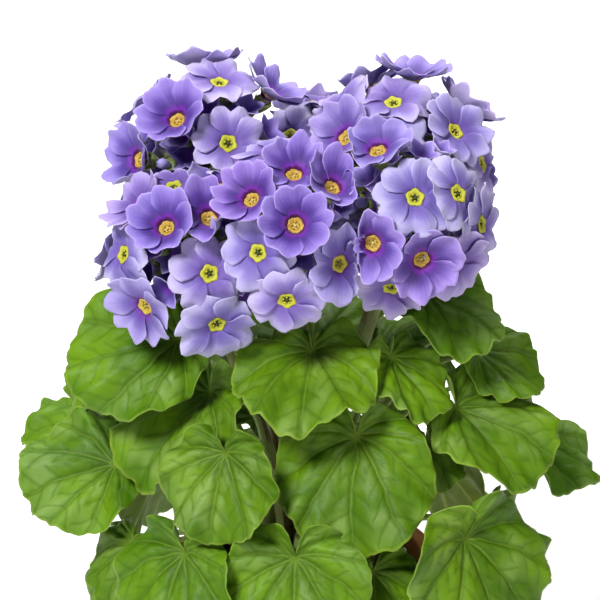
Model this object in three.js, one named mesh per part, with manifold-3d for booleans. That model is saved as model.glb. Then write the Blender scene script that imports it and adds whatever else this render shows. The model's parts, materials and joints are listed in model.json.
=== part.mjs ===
// A potted German primrose: a clay pot, potting soil, leaves on petioles, flower stems and umbels.
// Millimetres, +Z up, the front of the plant towards -Y. The origin is the centre of the pot's
// underside. An azimuth of 0 degrees points to the front, +90 to the right, -90 to the left.
import * as THREE from 'three';
import { mergeVertices } from 'three/addons/utils/BufferGeometryUtils.js';
import Module from 'manifold-3d';

const wasm = await Module();
wasm.setup();

// Pot
const potHeight = 112;
const potRimRadius = 65;
const potBaseRadius = 45;
const potWall = 5;
const potFloor = 7;
const potBandHeight = 24;
const potBandStep = 2.6;
const potEdge = 1.2;
const potSides = 32;
const drainHoles = 4;
const drainHoleRadius = 5;
const drainHoleRing = 27;

// Soil
const soilLevel = 102;
const soilCrown = 3;
const soilRings = [16, 38];
const soilSectors = 16;
const soilLumps = 1.6;
const touchGap = 0.3;

// Holes that the stems stand in
const holeDepth = 8;
const holeSides = 4;
const holeGap = 0.5;
const stemFootRise = 4;

// How far a stem keeps its first and its last direction, as shares of its reach
const stemUpright = 0.45;
const stemArrival = 0.35;

// Leaves
const bladeThickness = 1.0;
const leafClearance = 0.5;
const bladeOutline = 24;
const bladeSpokes = 8;
const bladeOffset = 0.52;
const sinusAngle = 22;
const sinusDepth = 0.13;
const spokeReach = 0.5;
const funnelDepth = 0.14;
const funnelSteepness = 4;
const leastWaves = 5;
const basalRise = 0.16;
const crossCurve = 0.0035;
const marginWave = 0.12;
const marginTeeth = 0.045;
const petioleRadius = 2.0;
const petioleTipRadius = 1.3;
const petioleEndRadius = 0.4;
const petioleNeck = 3;
const petioleSides = 4;
const petioleSteps = 3;

// Flower stems
const stemRadius = 2.4;
const stemTopRadius = 1.9;
const stemSides = 5;
const stemSteps = 4;
const stemRing = 11;

// Flowers
const flowerRadius = 20.5;
const youngShrink = 0.9;
const smallestFlower = 0.94;
const sizeSpread = 0.1;
const petalThickness = 1.2;
const lobeCount = 5;
const notchDepth = 0.13;
const cleftDepth = 0.2;
const lobeLeast = 0.96;
const lobeSpread = 0.08;
const edgeWave = 0.7;
const edgeDraw = 1.2;
const lobeMiddle = 0.52;
const lobeMiddleRise = 0.4;
const insideEdge = 0.78;
const cupCurve = 1.6;
const throatDepth = 3.2;
const youngCup = 9;
const oldCup = 1.5;
const oldCupSpread = 3;
const calyxRadius = 4.6;
const calyxTop = 5;
const calyxBase = 12;
const pedicelRadius = 1.1;
const pedicelSides = 3;
const pedicelSwell = 1.4;
const hubRadius = 3.4;
const faceUpturn = 0.2;
const cellGap = 0.35;
const petalLift = 0.8;
const leastClosing = 0.15;
const mostDrawn = 0.8;
const petalOverlap = 5;
const slideGap = 2.8;
const mostPressed = 9;
const rimInside = 2;
const rimOutside = 3;
const ageSinks = 8;
const rankSpread = 2;
const pressedFully = 0.8;

// Umbels: the hub's place above the soil, how far off it the middle of the umbel's share of the
// head lies, and the flowers that are placed by eye, each as azimuth, elevation, reach from the
// hub, age from 0 (fresh and cupped) to 1 (old, flat and pale).
const umbels = [
  {
    hub: [-45, 5, 217],
    share: [-5, -8, 12],
    flowers: [
      [-28, 38, 42, 0], [-55, 6, 42, 0.1], [14, 24, 41, 0.9], [-100, 36, 40, 0.6],
      [20, 72, 42, 1], [85, 48, 42, 0.2],
    ],
  },
  {
    hub: [45, 5, 212],
    share: [4, -9, 13],
    flowers: [
      [-14, 38, 42, 0.9], [70, 6, 43, 1], [50, 34, 42, 0.7], [108, 38, 40, 0.2],
      [-10, 62, 42, 0.8], [-85, 46, 42, 0.9], [-48, 30, 41, 0.4],
    ],
  },
  {
    hub: [-50, -35, 180],
    share: [-4, -13, 7],
    flowers: [
      [-24, 34, 43, 0], [10, 42, 42, 0], [40, 66, 41, 0.5], [8, 6, 42, 1],
      [14, -32, 44, 1], [-58, 10, 43, 1], [-62, 42, 42, 0.5], [-45, 66, 42, 0.8],
    ],
  },
  {
    hub: [-6, -48, 196],
    share: [0, -14, 5],
    flowers: [
      [2, 22, 44, 0], [-34, 36, 42, 0], [2, 58, 41, 0], [38, 44, 42, 0],
      [-4, -30, 44, 1], [-24, 2, 40, 0.9], [32, -6, 42, 0.6], [-60, 74, 42, 1],
    ],
  },
  {
    hub: [44, -38, 203],
    share: [4, -17, -2],
    flowers: [
      [-18, -4, 43, 0.1], [10, 26, 42, 0.9], [44, 24, 43, 1], [14, -16, 42, 0.1],
      [46, -24, 42, 0.7], [66, -2, 43, 1], [-8, -46, 42, 0.9], [-32, 60, 40, 0.3],
    ],
  },
  { hub: [-44, 46, 186], share: [-10, 10, 4], flowers: [] },
  { hub: [44, 47, 184], share: [10, 10, 4], flowers: [] },
  { hub: [0, 45, 188], share: [-2, -3, 12], flowers: [[-16, 52, 43, 1], [38, 8, 42, 0.6]] },
];
const fillReach = 42;
const fillTries = 90;
const fillSpacing = 27;
const fillInside = 6;
const fillOutward = 0.1;
const youngestFill = 0.15;
const goldenAngle = 137.508;
const spiralSpan = 1.72;
const headCentre = new THREE.Vector3(0, 4, 270);
const lowestFlower = 264;

// Leaves: azimuth and reach of the blade's foot from the plant's axis, its rise above the soil,
// the heading, pitch and roll of the blade, its size, its droop, and the ring its petiole stands in.
const leafRings = { inner: 18, middle: 25, outer: 33 };
const leaves = [
  { at: [-60, 70, 136], turn: [-86, -14, -44], size: 36, droop: 0.006, ring: 'inner' },
  { at: [-98, 86, 108], turn: [-97, -30, -20], size: 27, droop: 0.008, ring: 'middle' },
  { at: [4, 47, 134], turn: [-8, -18, 0], size: 34, droop: 0.008, ring: 'inner' },
  { at: [-52, 57, 108], turn: [-62, -36, -10], size: 37, droop: 0.006, ring: 'middle' },
  { at: [-26, 85, 95], turn: [-25, -60, 0], size: 29, droop: 0.005, ring: 'middle' },
  { at: [22, 66, 97], turn: [-8, -54, 0], size: 38, droop: 0.005, ring: 'middle' },
  { at: [-74, 96, 68], turn: [-82, -14, -36], size: 32, droop: 0.006, ring: 'outer' },
  { at: [-106, 104, 68], turn: [-98, -8, -14], size: 28, droop: 0.006, ring: 'outer' },
  { at: [-35, 98, 45], turn: [-40, -58, 0], size: 34, droop: 0.005, ring: 'outer' },
  { at: [-60, 94, 34], turn: [-60, -52, -10], size: 22, droop: 0.008, ring: 'outer' },
  { at: [-84, 84, 14], turn: [-76, -56, 0], size: 31, droop: 0.004, ring: 'outer' },
  { at: [-3, 89, 47], turn: [-3, -60, 0], size: 38, droop: 0.005, ring: 'outer' },
  { at: [46, 105, 50], turn: [40, -62, 0], size: 43, droop: 0.004, ring: 'outer' },
  { at: [22, 84, 34], turn: [20, -62, 0], size: 27, droop: 0.006, ring: 'outer' },
  { at: [66, 62, 156], turn: [64, -22, 14], size: 28, droop: 0.008, ring: 'inner' },
  { at: [42, 60, 130], turn: [50, -34, 0], size: 24, droop: 0.008, ring: 'middle' },
  { at: [80, 84, 122], turn: [82, -24, 24], size: 24, droop: 0.008, ring: 'inner' },
  { at: [62, 82, 102], turn: [76, -20, 22], size: 35, droop: 0.006, ring: 'middle' },
  { at: [90, 104, 72], turn: [90, -24, 18], size: 29, droop: 0.006, ring: 'middle' },
  { at: [52, 72, 88], turn: [54, -50, 0], size: 18, droop: 0.006, ring: 'outer' },
  { at: [80, 94, 34], turn: [76, -46, 0], size: 28, droop: 0.006, ring: 'outer' },
  { at: [104, 74, 120], turn: [105, -28, 0], size: 27, droop: 0.008, ring: 'middle' },
  { at: [-150, 40, 66], turn: [-150, 26, 0], size: 30, droop: 0.007, ring: 'inner' },
  { at: [176, 46, 100], turn: [176, 26, 0], size: 32, droop: 0.007, ring: 'inner' },
  { at: [138, 52, 96], turn: [130, 24, 0], size: 30, droop: 0.007, ring: 'inner' },
  { at: [-134, 88, 80], turn: [-133, -46, 0], size: 30, droop: 0.006, ring: 'middle' },
  { at: [-166, 90, 92], turn: [-165, -54, 0], size: 33, droop: 0.006, ring: 'middle' },
  { at: [158, 93, 76], turn: [158, -56, 0], size: 32, droop: 0.006, ring: 'middle' },
  { at: [124, 92, 78], turn: [123, -44, 0], size: 33, droop: 0.006, ring: 'middle' },
  { at: [-140, 96, 32], turn: [-140, -60, 0], size: 36, droop: 0.005, ring: 'outer' },
  { at: [180, 98, 36], turn: [180, -60, 0], size: 37, droop: 0.005, ring: 'outer' },
  { at: [140, 96, 32], turn: [140, -60, 0], size: 36, droop: 0.005, ring: 'outer' },
];

// Edges shorter than this, left where shapes are cut or joined, are merged away.
const finestEdge = 0.02;

// Colours
const clayColour = 0xb5603c;
const soilColour = 0x33241a;
const leafColour = 0x5f9a2a;
const stemColour = 0x8aa04c;
const flowerColour = 0x8a72d4;

const up = new THREE.Vector3(0, 0, 1);
const rad = THREE.MathUtils.degToRad;

function ground(azimuth) {
  return new THREE.Vector3(Math.sin(rad(azimuth)), -Math.cos(rad(azimuth)), 0);
}

function skyward(azimuth, elevation) {
  const level = ground(azimuth).multiplyScalar(Math.cos(rad(elevation)));
  return level.addScaledVector(up, Math.sin(rad(elevation)));
}

// The same number from 0 to 1 each time for the same pair of numbers.
function draw(i, j) {
  const wave = Math.sin(i * 127.1 + j * 311.7) * 43758.5453;
  return wave - Math.floor(wave);
}

function faceted(points, faces) {
  const geometry = new THREE.BufferGeometry().setFromPoints(points);
  geometry.setIndex(faces.flat());
  return geometry;
}

function toSolid(geometry) {
  const bare = geometry.clone();
  bare.deleteAttribute('normal');
  bare.deleteAttribute('uv');
  const welded = mergeVertices(bare, 1e-4);
  const vertProperties = new Float32Array(welded.attributes.position.array);
  const triVerts = new Uint32Array(welded.index.array);
  return new wasm.Manifold(new wasm.Mesh({ numProp: 3, vertProperties, triVerts }));
}

function toGeometry(solid) {
  const mesh = solid.simplify(finestEdge).getMesh();
  const geometry = new THREE.BufferGeometry();
  geometry.setAttribute('position', new THREE.BufferAttribute(mesh.vertProperties, 3));
  geometry.setIndex(new THREE.BufferAttribute(mesh.triVerts, 1));
  return geometry;
}

function largestBody(solid) {
  const bodies = solid.decompose();
  return bodies.reduce((best, body) => (body.volume() > best.volume() ? body : best));
}

// A tapered stem through the points of a path, closed at both ends. The side vector is level and
// square to the way the stem leans.
function loft(path, radii, sides, side) {
  const points = [];
  path.forEach((centre, i) => {
    const ahead = path[Math.min(i + 1, path.length - 1)];
    const behind = path[Math.max(i - 1, 0)];
    const along = ahead.clone().sub(behind).normalize();
    const first = side.clone().addScaledVector(along, -side.dot(along)).normalize();
    const second = along.clone().cross(first);
    for (let k = 0; k < sides; k += 1) {
      const angle = (2 * Math.PI * (k + 0.5)) / sides;
      const point = centre.clone().addScaledVector(first, radii[i] * Math.cos(angle));
      points.push(point.addScaledVector(second, radii[i] * Math.sin(angle)));
    }
  });
  const faces = [];
  const last = (path.length - 1) * sides;
  for (let k = 0; k < sides; k += 1) {
    const next = (k + 1) % sides;
    for (let start = 0; start < last; start += sides) {
      faces.push([start + k, start + next, start + sides + next]);
      faces.push([start + k, start + sides + next, start + sides + k]);
    }
    if (k > 0 && k < sides - 1) {
      faces.push([0, k + 1, k]);
      faces.push([last, last + k, last + k + 1]);
    }
  }
  return faceted(points, faces);
}

// Pot, turned from a profile that starts and ends on the axis
function innerRadius(z) {
  const taper = (potRimRadius - potBandStep - potBaseRadius) / potHeight;
  return potBaseRadius + taper * z - potWall;
}

function potGeometry() {
  const taper = (potRimRadius - potBandStep - potBaseRadius) / potHeight;
  const bandFoot = potHeight - potBandHeight;
  const wallAtBand = potBaseRadius + taper * bandFoot;
  const profile = [
    [0, 0],
    [potBaseRadius, 0],
    [wallAtBand, bandFoot],
    [wallAtBand + potBandStep, bandFoot + potEdge],
    [potRimRadius, potHeight - potEdge],
    [potRimRadius - potEdge, potHeight],
    [innerRadius(potHeight), potHeight],
    [innerRadius(potFloor), potFloor],
    [0, potFloor],
  ];
  const outline = profile.map(([r, z]) => new THREE.Vector2(r, z));
  const turned = new THREE.LatheGeometry(outline, potSides).rotateX(Math.PI / 2);
  let pot = toSolid(turned);
  for (let k = 0; k < drainHoles; k += 1) {
    const angle = (2 * Math.PI * (k + 0.5)) / drainHoles;
    const hole = new THREE.CylinderGeometry(drainHoleRadius, drainHoleRadius, 3 * potFloor, 10);
    hole.rotateX(Math.PI / 2);
    hole.translate(drainHoleRing * Math.cos(angle), drainHoleRing * Math.sin(angle), 0);
    pot = pot.subtract(toSolid(hole));
  }
  return toGeometry(pot);
}

// Soil, with a lumpy crown, filling the pot up to its level
function soilHeight(r, sector) {
  const rim = innerRadius(soilLevel);
  const crown = soilCrown * (1 - (r / rim) ** 2);
  return soilLevel + crown + soilLumps * (draw(sector, r) - 0.5);
}

function soilGeometry(feet) {
  const foot = potFloor + touchGap;
  const sidePoint = (radius, z, k, count) => {
    const angle = (2 * Math.PI * k) / count;
    return new THREE.Vector3(radius * Math.sin(angle), radius * Math.cos(angle), z);
  };
  const points = [new THREE.Vector3(0, 0, foot), new THREE.Vector3(0, 0, soilLevel + soilCrown)];
  const rows = [];
  const addRow = (radius, count, heightAt) => {
    rows.push({ start: points.length, count });
    for (let k = 0; k < count; k += 1) points.push(sidePoint(radius, heightAt(k), k, count));
  };
  addRow(innerRadius(foot) - touchGap, potSides, () => foot);
  addRow(innerRadius(soilLevel) - touchGap, potSides, () => soilLevel);
  [...soilRings].reverse().forEach((r) => addRow(r, soilSectors, (k) => soilHeight(r, k)));
  const faces = [];
  const at = (row, k) => row.start + (k % row.count);
  for (let k = 0; k < potSides; k += 1) faces.push([0, at(rows[0], k), at(rows[0], k + 1)]);
  rows.slice(1).forEach((upper, i) => {
    const lower = rows[i];
    for (let k = 0; k < upper.count; k += 1) {
      if (lower.count === upper.count) {
        faces.push([at(lower, k), at(upper, k), at(upper, k + 1)]);
        faces.push([at(lower, k), at(upper, k + 1), at(lower, k + 1)]);
      } else {
        faces.push([at(lower, 2 * k), at(upper, k), at(lower, 2 * k + 1)]);
        faces.push([at(lower, 2 * k + 1), at(upper, k), at(upper, k + 1)]);
        faces.push([at(lower, 2 * k + 1), at(upper, k + 1), at(lower, 2 * k + 2)]);
      }
    }
  });
  const top = rows[rows.length - 1];
  for (let k = 0; k < top.count; k += 1) faces.push([1, at(top, k + 1), at(top, k)]);
  let soil = toSolid(faceted(points, faces));
  feet.forEach(({ place, radius }) => {
    const around = (radius + holeGap) / Math.cos(Math.PI / holeSides);
    const deep = place.clone().setZ(soilLevel - holeDepth);
    const high = place.clone().setZ(soilLevel + 3 * soilCrown);
    const hole = loft([deep, high], [around, around], holeSides, new THREE.Vector3(1, 0, 0));
    soil = soil.subtract(toSolid(hole));
  });
  return toGeometry(soil);
}

// A stem's path: upright out of its hole, then in one bend to its end.
function stemPath(foot, end, endWay, steps) {
  const deep = foot.clone().setZ(soilLevel - holeDepth + touchGap);
  const out = foot.clone().setZ(soilLevel + soilCrown + stemFootRise);
  const reach = end.distanceTo(out);
  const bend = new THREE.CubicBezierCurve3(
    out,
    out.clone().addScaledVector(up, stemUpright * reach),
    end.clone().addScaledVector(endWay, -stemArrival * reach),
    end,
  );
  return [deep, ...bend.getPoints(steps)];
}

// Leaf blade
function bladeEdge(angle, size) {
  const offset = bladeOffset * size;
  const across = offset * Math.sin(angle);
  const full = offset * Math.cos(angle) + Math.sqrt(size ** 2 - across ** 2);
  return Math.abs(angle) > Math.PI - rad(sinusAngle) ? sinusDepth * size : full;
}

function bladeHeight(leaf, seed, f, angle, along, across) {
  const waves = leastWaves + Math.floor(3 * draw(seed, 1));
  const phase = 2 * Math.PI * draw(seed, 2);
  const funnel = funnelDepth * leaf.size * (1 - Math.exp(-funnelSteepness * f));
  const wave = marginWave * leaf.size * f * f * Math.sin(waves * angle + phase);
  const lobes = basalRise * leaf.size * f * (0.5 - 0.5 * Math.cos(angle));
  const bend = 0.5 * leaf.droop * Math.max(along, 0) ** 2 + crossCurve * across ** 2;
  return funnel + wave + lobes - bend;
}

function bladeFrame(leaf) {
  const [heading, pitch, roll] = leaf.turn;
  const [azimuth, reach, rise] = leaf.at;
  const foot = ground(azimuth).multiplyScalar(reach).setZ(soilLevel + rise);
  const along = skyward(heading, pitch);
  const level = up.clone().cross(along).normalize();
  const across = level.applyAxisAngle(along, rad(roll));
  const face = along.clone().cross(across);
  return { foot, along, across, face };
}

function bladeGeometry(leaf, seed, thickness) {
  const { foot, along, across, face } = bladeFrame(leaf);
  const place = (f, angle, lift) => {
    const step = Math.round((angle / Math.PI) * 0.5 * bladeOutline + 0.5);
    const tooth = 1 + (f === 1 ? marginTeeth * (step % 2 ? 1 : -1) : 0);
    const r = f * bladeEdge(angle, leaf.size) * tooth;
    const x = r * Math.cos(angle);
    const y = r * Math.sin(angle);
    const z = bladeHeight(leaf, seed, f, angle, x, y) + lift;
    return foot.clone().addScaledVector(along, x).addScaledVector(across, y).addScaledVector(face, z);
  };
  const points = [];
  const sheet = bladeOutline + bladeSpokes + 1;
  [0.5, -0.5].forEach((side) => {
    const lift = side * thickness;
    for (let j = 0; j < bladeOutline; j += 1) {
      points.push(place(1, (2 * Math.PI * (j + 0.5)) / bladeOutline - Math.PI, lift));
    }
    for (let k = 0; k < bladeSpokes; k += 1) {
      points.push(place(spokeReach, (2 * Math.PI * (k + 0.5)) / bladeSpokes - Math.PI, lift));
    }
    points.push(place(0, 0, lift));
  });
  const centre = sheet - 1;
  const spoke = (k) => bladeOutline + k;
  const top = [];
  for (let k = 0; k < bladeSpokes - 1; k += 1) {
    const j = 1 + 3 * k;
    top.push([centre, spoke(k), spoke(k + 1)]);
    top.push([spoke(k), j, j + 1]);
    top.push([spoke(k), j + 1, spoke(k + 1)]);
    top.push([spoke(k + 1), j + 1, j + 2]);
    top.push([spoke(k + 1), j + 2, j + 3]);
  }
  const lastSpoke = spoke(bladeSpokes - 1);
  const lastEdge = bladeOutline - 1;
  top.push([lastSpoke, lastEdge - 1, lastEdge]);
  top.push([centre, lastSpoke, lastEdge]);
  top.push([centre, lastEdge, 0]);
  top.push([centre, 0, spoke(0)]);
  top.push([spoke(0), 0, 1]);
  const faces = [...top];
  top.forEach(([a, b, c]) => faces.push([a + sheet, c + sheet, b + sheet]));
  for (let j = 0; j < bladeOutline; j += 1) {
    const next = (j + 1) % bladeOutline;
    faces.push([j, j + sheet, next + sheet]);
    faces.push([j, next + sheet, next]);
  }
  return faceted(points, faces);
}

function petioleFoot(leaf) {
  return ground(leaf.at[0]).multiplyScalar(leafRings[leaf.ring]);
}

// The petiole comes up from below and ends sunk in the blade's foot.
function petioleGeometry(leaf, grow) {
  const { foot: bladeFoot, along, face } = bladeFrame(leaf);
  const arriving = along.clone().add(face).normalize();
  const neck = bladeFoot.clone().addScaledVector(arriving, -petioleNeck);
  const path = [...stemPath(petioleFoot(leaf), neck, arriving, petioleSteps), bladeFoot];
  const radii = path.map((_, i) => {
    const t = Math.max(i - 1, 0) / petioleSteps;
    const radius = THREE.MathUtils.lerp(petioleRadius, petioleTipRadius, t);
    return (i === path.length - 1 ? petioleEndRadius : radius) + grow;
  });
  const side = up.clone().cross(bladeFoot.clone().setZ(0)).normalize();
  return loft(path, radii, petioleSides, side);
}

function leafSolid(leaf, seed, grow) {
  const blade = toSolid(bladeGeometry(leaf, seed, bladeThickness + 2 * grow));
  return blade.add(toSolid(petioleGeometry(leaf, grow)));
}

// Flower stem
function hubPlace(umbel) {
  const [x, y, z] = umbel.hub;
  return new THREE.Vector3(x, y, soilLevel + z);
}

function stemFoot(umbel) {
  const [x, y] = umbel.hub;
  return new THREE.Vector3(x, y, 0).setLength(stemRing);
}

function flowerStemGeometry(umbel, grow) {
  const hub = hubPlace(umbel);
  const lean = hub.clone().sub(new THREE.Vector3(0, 0, soilLevel)).normalize();
  const arriving = lean.clone().add(up).normalize();
  const end = hub.clone().addScaledVector(arriving, -(hubRadius + touchGap));
  const path = stemPath(stemFoot(umbel), end, arriving, stemSteps);
  const radii = path.map((_, i) => {
    const t = Math.max(i - 1, 0) / stemSteps;
    return THREE.MathUtils.lerp(stemRadius, stemTopRadius, t) + grow;
  });
  const side = up.clone().cross(hub.clone().setZ(0)).normalize();
  return loft(path, radii, stemSides, side);
}

// Places of all flowers: those chosen by eye first, then a spiral of directions round each hub
// fills what is left, as long as a flower keeps its distance and faces out of the head.
function spiralWay(k) {
  const height = 1 - (spiralSpan * (k + 0.3)) / fillTries;
  return skyward(goldenAngle * k, THREE.MathUtils.radToDeg(Math.asin(height)));
}

function faceOf(umbel, way, reach) {
  return hubPlace(umbel).addScaledVector(way, reach);
}

// The planes between an umbel's share of the head and those of the other umbels.
function umbelPlanes(umbel) {
  const own = hubPlace(umbel).add(new THREE.Vector3(...umbel.share));
  return umbels.filter((other) => other !== umbel).map((other) => {
    const next = hubPlace(other).add(new THREE.Vector3(...other.share));
    return { point: next.clone().add(own).multiplyScalar(0.5), normal: next.sub(own).normalize() };
  });
}

function depthInside(umbel, place) {
  const depths = umbelPlanes(umbel).map(({ point, normal }) => point.clone().sub(place).dot(normal));
  return Math.min(...depths);
}

function placeFlowers() {
  const placed = [];
  const add = (umbel, way, reach, age) => {
    const flower = { umbel, way, reach, age, seed: placed.length };
    placed.push({ ...flower, ...flowerFrame(flower) });
  };
  umbels.forEach((umbel) => umbel.flowers.forEach(([azimuth, elevation, reach, age]) => {
    add(umbel, skyward(azimuth, elevation), reach, age);
  }));
  umbels.forEach((umbel, u) => {
    for (let k = 0; k < fillTries; k += 1) {
      const way = spiralWay(k);
      const place = faceOf(umbel, way, fillReach);
      const outward = place.clone().sub(headCentre).normalize();
      const free = placed.every((f) => place.distanceTo(faceOf(f.umbel, f.way, f.reach)) > fillSpacing);
      const fits = depthInside(umbel, place) > fillInside && way.dot(outward) > fillOutward;
      if (!free || !fits || place.z < lowestFlower) continue;
      add(umbel, way, fillReach, THREE.MathUtils.lerp(youngestFill, 1, draw(u, k)));
    }
  });
  return placed;
}

// A flower's middle, the way it faces, its radius, how deep it is cupped, and its rank: where two
// flowers of an umbel meet, the one of higher rank lies over the other.
function flowerFrame({ umbel, way, reach, age, seed }) {
  const facing = way.clone().addScaledVector(up, faceUpturn).normalize();
  const spin = 2 * Math.PI * draw(seed, 3);
  const tilt = new THREE.Quaternion().setFromUnitVectors(up, facing);
  const first = new THREE.Vector3(Math.cos(spin), Math.sin(spin), 0).applyQuaternion(tilt);
  const spread = THREE.MathUtils.lerp(youngShrink, 1, age) * (smallestFlower + sizeSpread * draw(seed, 4));
  return {
    hub: hubPlace(umbel),
    middle: hubPlace(umbel).addScaledVector(way, reach),
    facing,
    first,
    second: facing.clone().cross(first),
    radius: flowerRadius * spread,
    cup: THREE.MathUtils.lerp(youngCup, oldCup - oldCupSpread * draw(seed, 5), age),
    rank: reach - ageSinks * age + rankSpread * draw(seed, 6),
  };
}

// The planes that a flower's petals bend up at: one to each other umbel, and one to each other
// flower of its own umbel, which its petals may pass by as far as they slide over or under.
function cellPlanes(flower, flowers) {
  const planes = [];
  flowers.forEach((other) => {
    if (other === flower || other.umbel !== flower.umbel) return;
    const apart = other.middle.clone().sub(flower.middle).normalize();
    const middle = other.middle.clone().add(flower.middle).multiplyScalar(0.5);
    const slide = petalOverlap * (other.rank > flower.rank ? flower.age : 1);
    planes.push({ point: middle.addScaledVector(apart, slide), normal: apart });
  });
  return [...planes, ...umbelPlanes(flower.umbel)];
}

// How far out along a ray a point may lie and still be inside the line between two others, all
// in polar form as angle and reach.
function reachInside(angle, from, to) {
  const turn = from.reach * Math.sin(angle - from.angle) + to.reach * Math.sin(to.angle - angle);
  const area = from.reach * to.reach * Math.sin(to.angle - from.angle);
  return turn > 0 ? area / turn : Infinity;
}

// One flower: five notched lobes round a sunken throat, the tube, the calyx and the pedicel.
function flowerGeometry(flower, flowers) {
  const { hub, middle, facing, first, second, radius, cup, seed } = flower;
  const planes = cellPlanes(flower, flowers);
  const above = flowers.filter((other) => other.umbel === flower.umbel && other.rank > flower.rank);
  const ray = (angle) => {
    return first.clone().multiplyScalar(Math.cos(angle)).addScaledVector(second, Math.sin(angle));
  };
  const place = ({ angle, reach, height }) => {
    return middle.clone().addScaledVector(ray(angle), reach).addScaledVector(facing, height);
  };
  // A petal point is drawn in along its ray, and up, until it is inside its cell.
  const drawnIn = ({ angle, reach, height }) => {
    const point = place({ angle, reach, height });
    let back = 0;
    planes.forEach(({ point: onPlane, normal }) => {
      const past = point.clone().sub(onPlane).dot(normal) + cellGap;
      const closing = ray(angle).dot(normal) + petalLift * Math.max(-facing.dot(normal), 0);
      if (past > 0 && closing > leastClosing) back = Math.max(back, past / closing);
    });
    back = Math.min(back, mostDrawn * reach);
    return { angle, reach: reach - back, height: height + petalLift * back };
  };
  // Under a flower of higher rank a petal point is pressed down below that flower's petals.
  const pressed = ({ angle, reach, height }) => {
    let down = 0;
    above.forEach((other) => {
      const from = place({ angle, reach, height }).sub(other.middle);
      const rise = from.dot(other.facing);
      const out = Math.sqrt(Math.max(from.lengthSq() - rise ** 2, 0));
      const sheet = other.cup * (out / other.radius) ** cupCurve - slideGap;
      const under = 1 - THREE.MathUtils.smoothstep(out, other.radius - rimInside, other.radius + rimOutside);
      down = Math.max(down, under * (rise - sheet));
    });
    const loose = THREE.MathUtils.smoothstep(reach, calyxRadius, pressedFully * radius);
    return { angle, reach, height: height - loose * Math.min(down, mostPressed) };
  };
  // Each lobe's edge from cleft to cleft: share of the radius, and how far it is waved up.
  const edge = [[1 - cleftDepth, -edgeWave], [1, edgeWave], [1 - notchDepth, -edgeWave], [1, edgeWave]];
  const around = lobeCount * edge.length;
  const lobeTurn = (2 * Math.PI) / lobeCount;
  const outline = [];
  for (let j = 0; j < around; j += 1) {
    const [share, wave] = edge[j % edge.length];
    const reach = radius * share * (lobeLeast + lobeSpread * draw(seed, 10 + j));
    const height = cup * share ** cupCurve + wave + edgeDraw * (draw(seed, 50 + j) - 0.5);
    outline.push(drawnIn({ angle: (lobeTurn * j) / edge.length, reach, height }));
  }
  // Each lobe's middle lies inside every line of its outline, so that the lobe doesn't fold.
  const lobes = [];
  for (let k = 0; k < lobeCount; k += 1) {
    const angle = lobeTurn * (k + 0.5);
    let reach = lobeMiddle * radius;
    let height = 0;
    for (let j = 0; j < edge.length; j += 1) {
      const from = outline[edge.length * k + j];
      const to = outline[(edge.length * k + j + 1) % around];
      const nearest = Math.min(reachInside(angle, from, to), from.reach, to.reach);
      reach = Math.min(reach, insideEdge * nearest);
      height += (0.5 * (from.height + to.height)) / edge.length;
    }
    lobes.push(pressed({ angle, reach, height: lobeMiddleRise * height }));
  }
  const points = outline.map((spot) => place(pressed(spot)));
  const half = 0.5 * petalThickness;
  lobes.forEach((spot) => points.push(place(spot).addScaledVector(facing, half)));
  points.push(place({ angle: 0, reach: 0, height: -throatDepth }));
  lobes.forEach((spot) => points.push(place(spot).addScaledVector(facing, -half)));
  const tubeEnd = middle.clone().addScaledVector(facing, -calyxBase);
  const stalk = tubeEnd.clone().sub(hub).normalize();
  const ring = (centre, axis, r, sides) => {
    const side = first.clone().addScaledVector(axis, -first.dot(axis)).normalize();
    const cross = axis.clone().cross(side);
    const start = points.length;
    for (let k = 0; k < sides; k += 1) {
      const angle = lobeTurn * 0.5 + (2 * Math.PI * k) / sides;
      const point = centre.clone().addScaledVector(side, r * Math.cos(angle));
      points.push(point.addScaledVector(cross, r * Math.sin(angle)));
    }
    return start;
  };
  const calyx = ring(middle.clone().addScaledVector(facing, -calyxTop), facing, calyxRadius, lobeCount);
  const neck = ring(tubeEnd, facing, pedicelSwell * pedicelRadius, pedicelSides);
  const root = ring(hub.clone().addScaledVector(stalk, 0.5 * hubRadius), stalk, pedicelRadius, pedicelSides);
  const faces = [];
  const topLobe = around;
  const centre = around + lobeCount;
  const underLobe = centre + 1;
  for (let k = 0; k < lobeCount; k += 1) {
    const next = (k + 1) % lobeCount;
    for (let j = 0; j < edge.length; j += 1) {
      const a = edge.length * k + j;
      const b = (a + 1) % around;
      faces.push([topLobe + k, a, b]);
      faces.push([underLobe + k, b, a]);
    }
    const cleft = edge.length * next;
    faces.push([topLobe + k, cleft, topLobe + next]);
    faces.push([underLobe + k, underLobe + next, cleft]);
    faces.push([centre, topLobe + k, topLobe + next]);
    faces.push([underLobe + k, calyx + k, calyx + next]);
    faces.push([underLobe + k, calyx + next, underLobe + next]);
    // The calyx narrows from five sides to the pedicel's three.
    const side = Math.round((k * pedicelSides) / lobeCount) % pedicelSides;
    const nextSide = Math.round(((k + 1) * pedicelSides) / lobeCount) % pedicelSides;
    faces.push([calyx + k, neck + side, calyx + next]);
    if (nextSide !== side) faces.push([calyx + next, neck + side, neck + nextSide]);
  }
  for (let k = 0; k < pedicelSides; k += 1) {
    const next = (k + 1) % pedicelSides;
    faces.push([neck + k, root + k, root + next]);
    faces.push([neck + k, root + next, neck + next]);
  }
  faces.push([root, root + 2, root + 1]);
  return faceted(points, faces);
}

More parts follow.
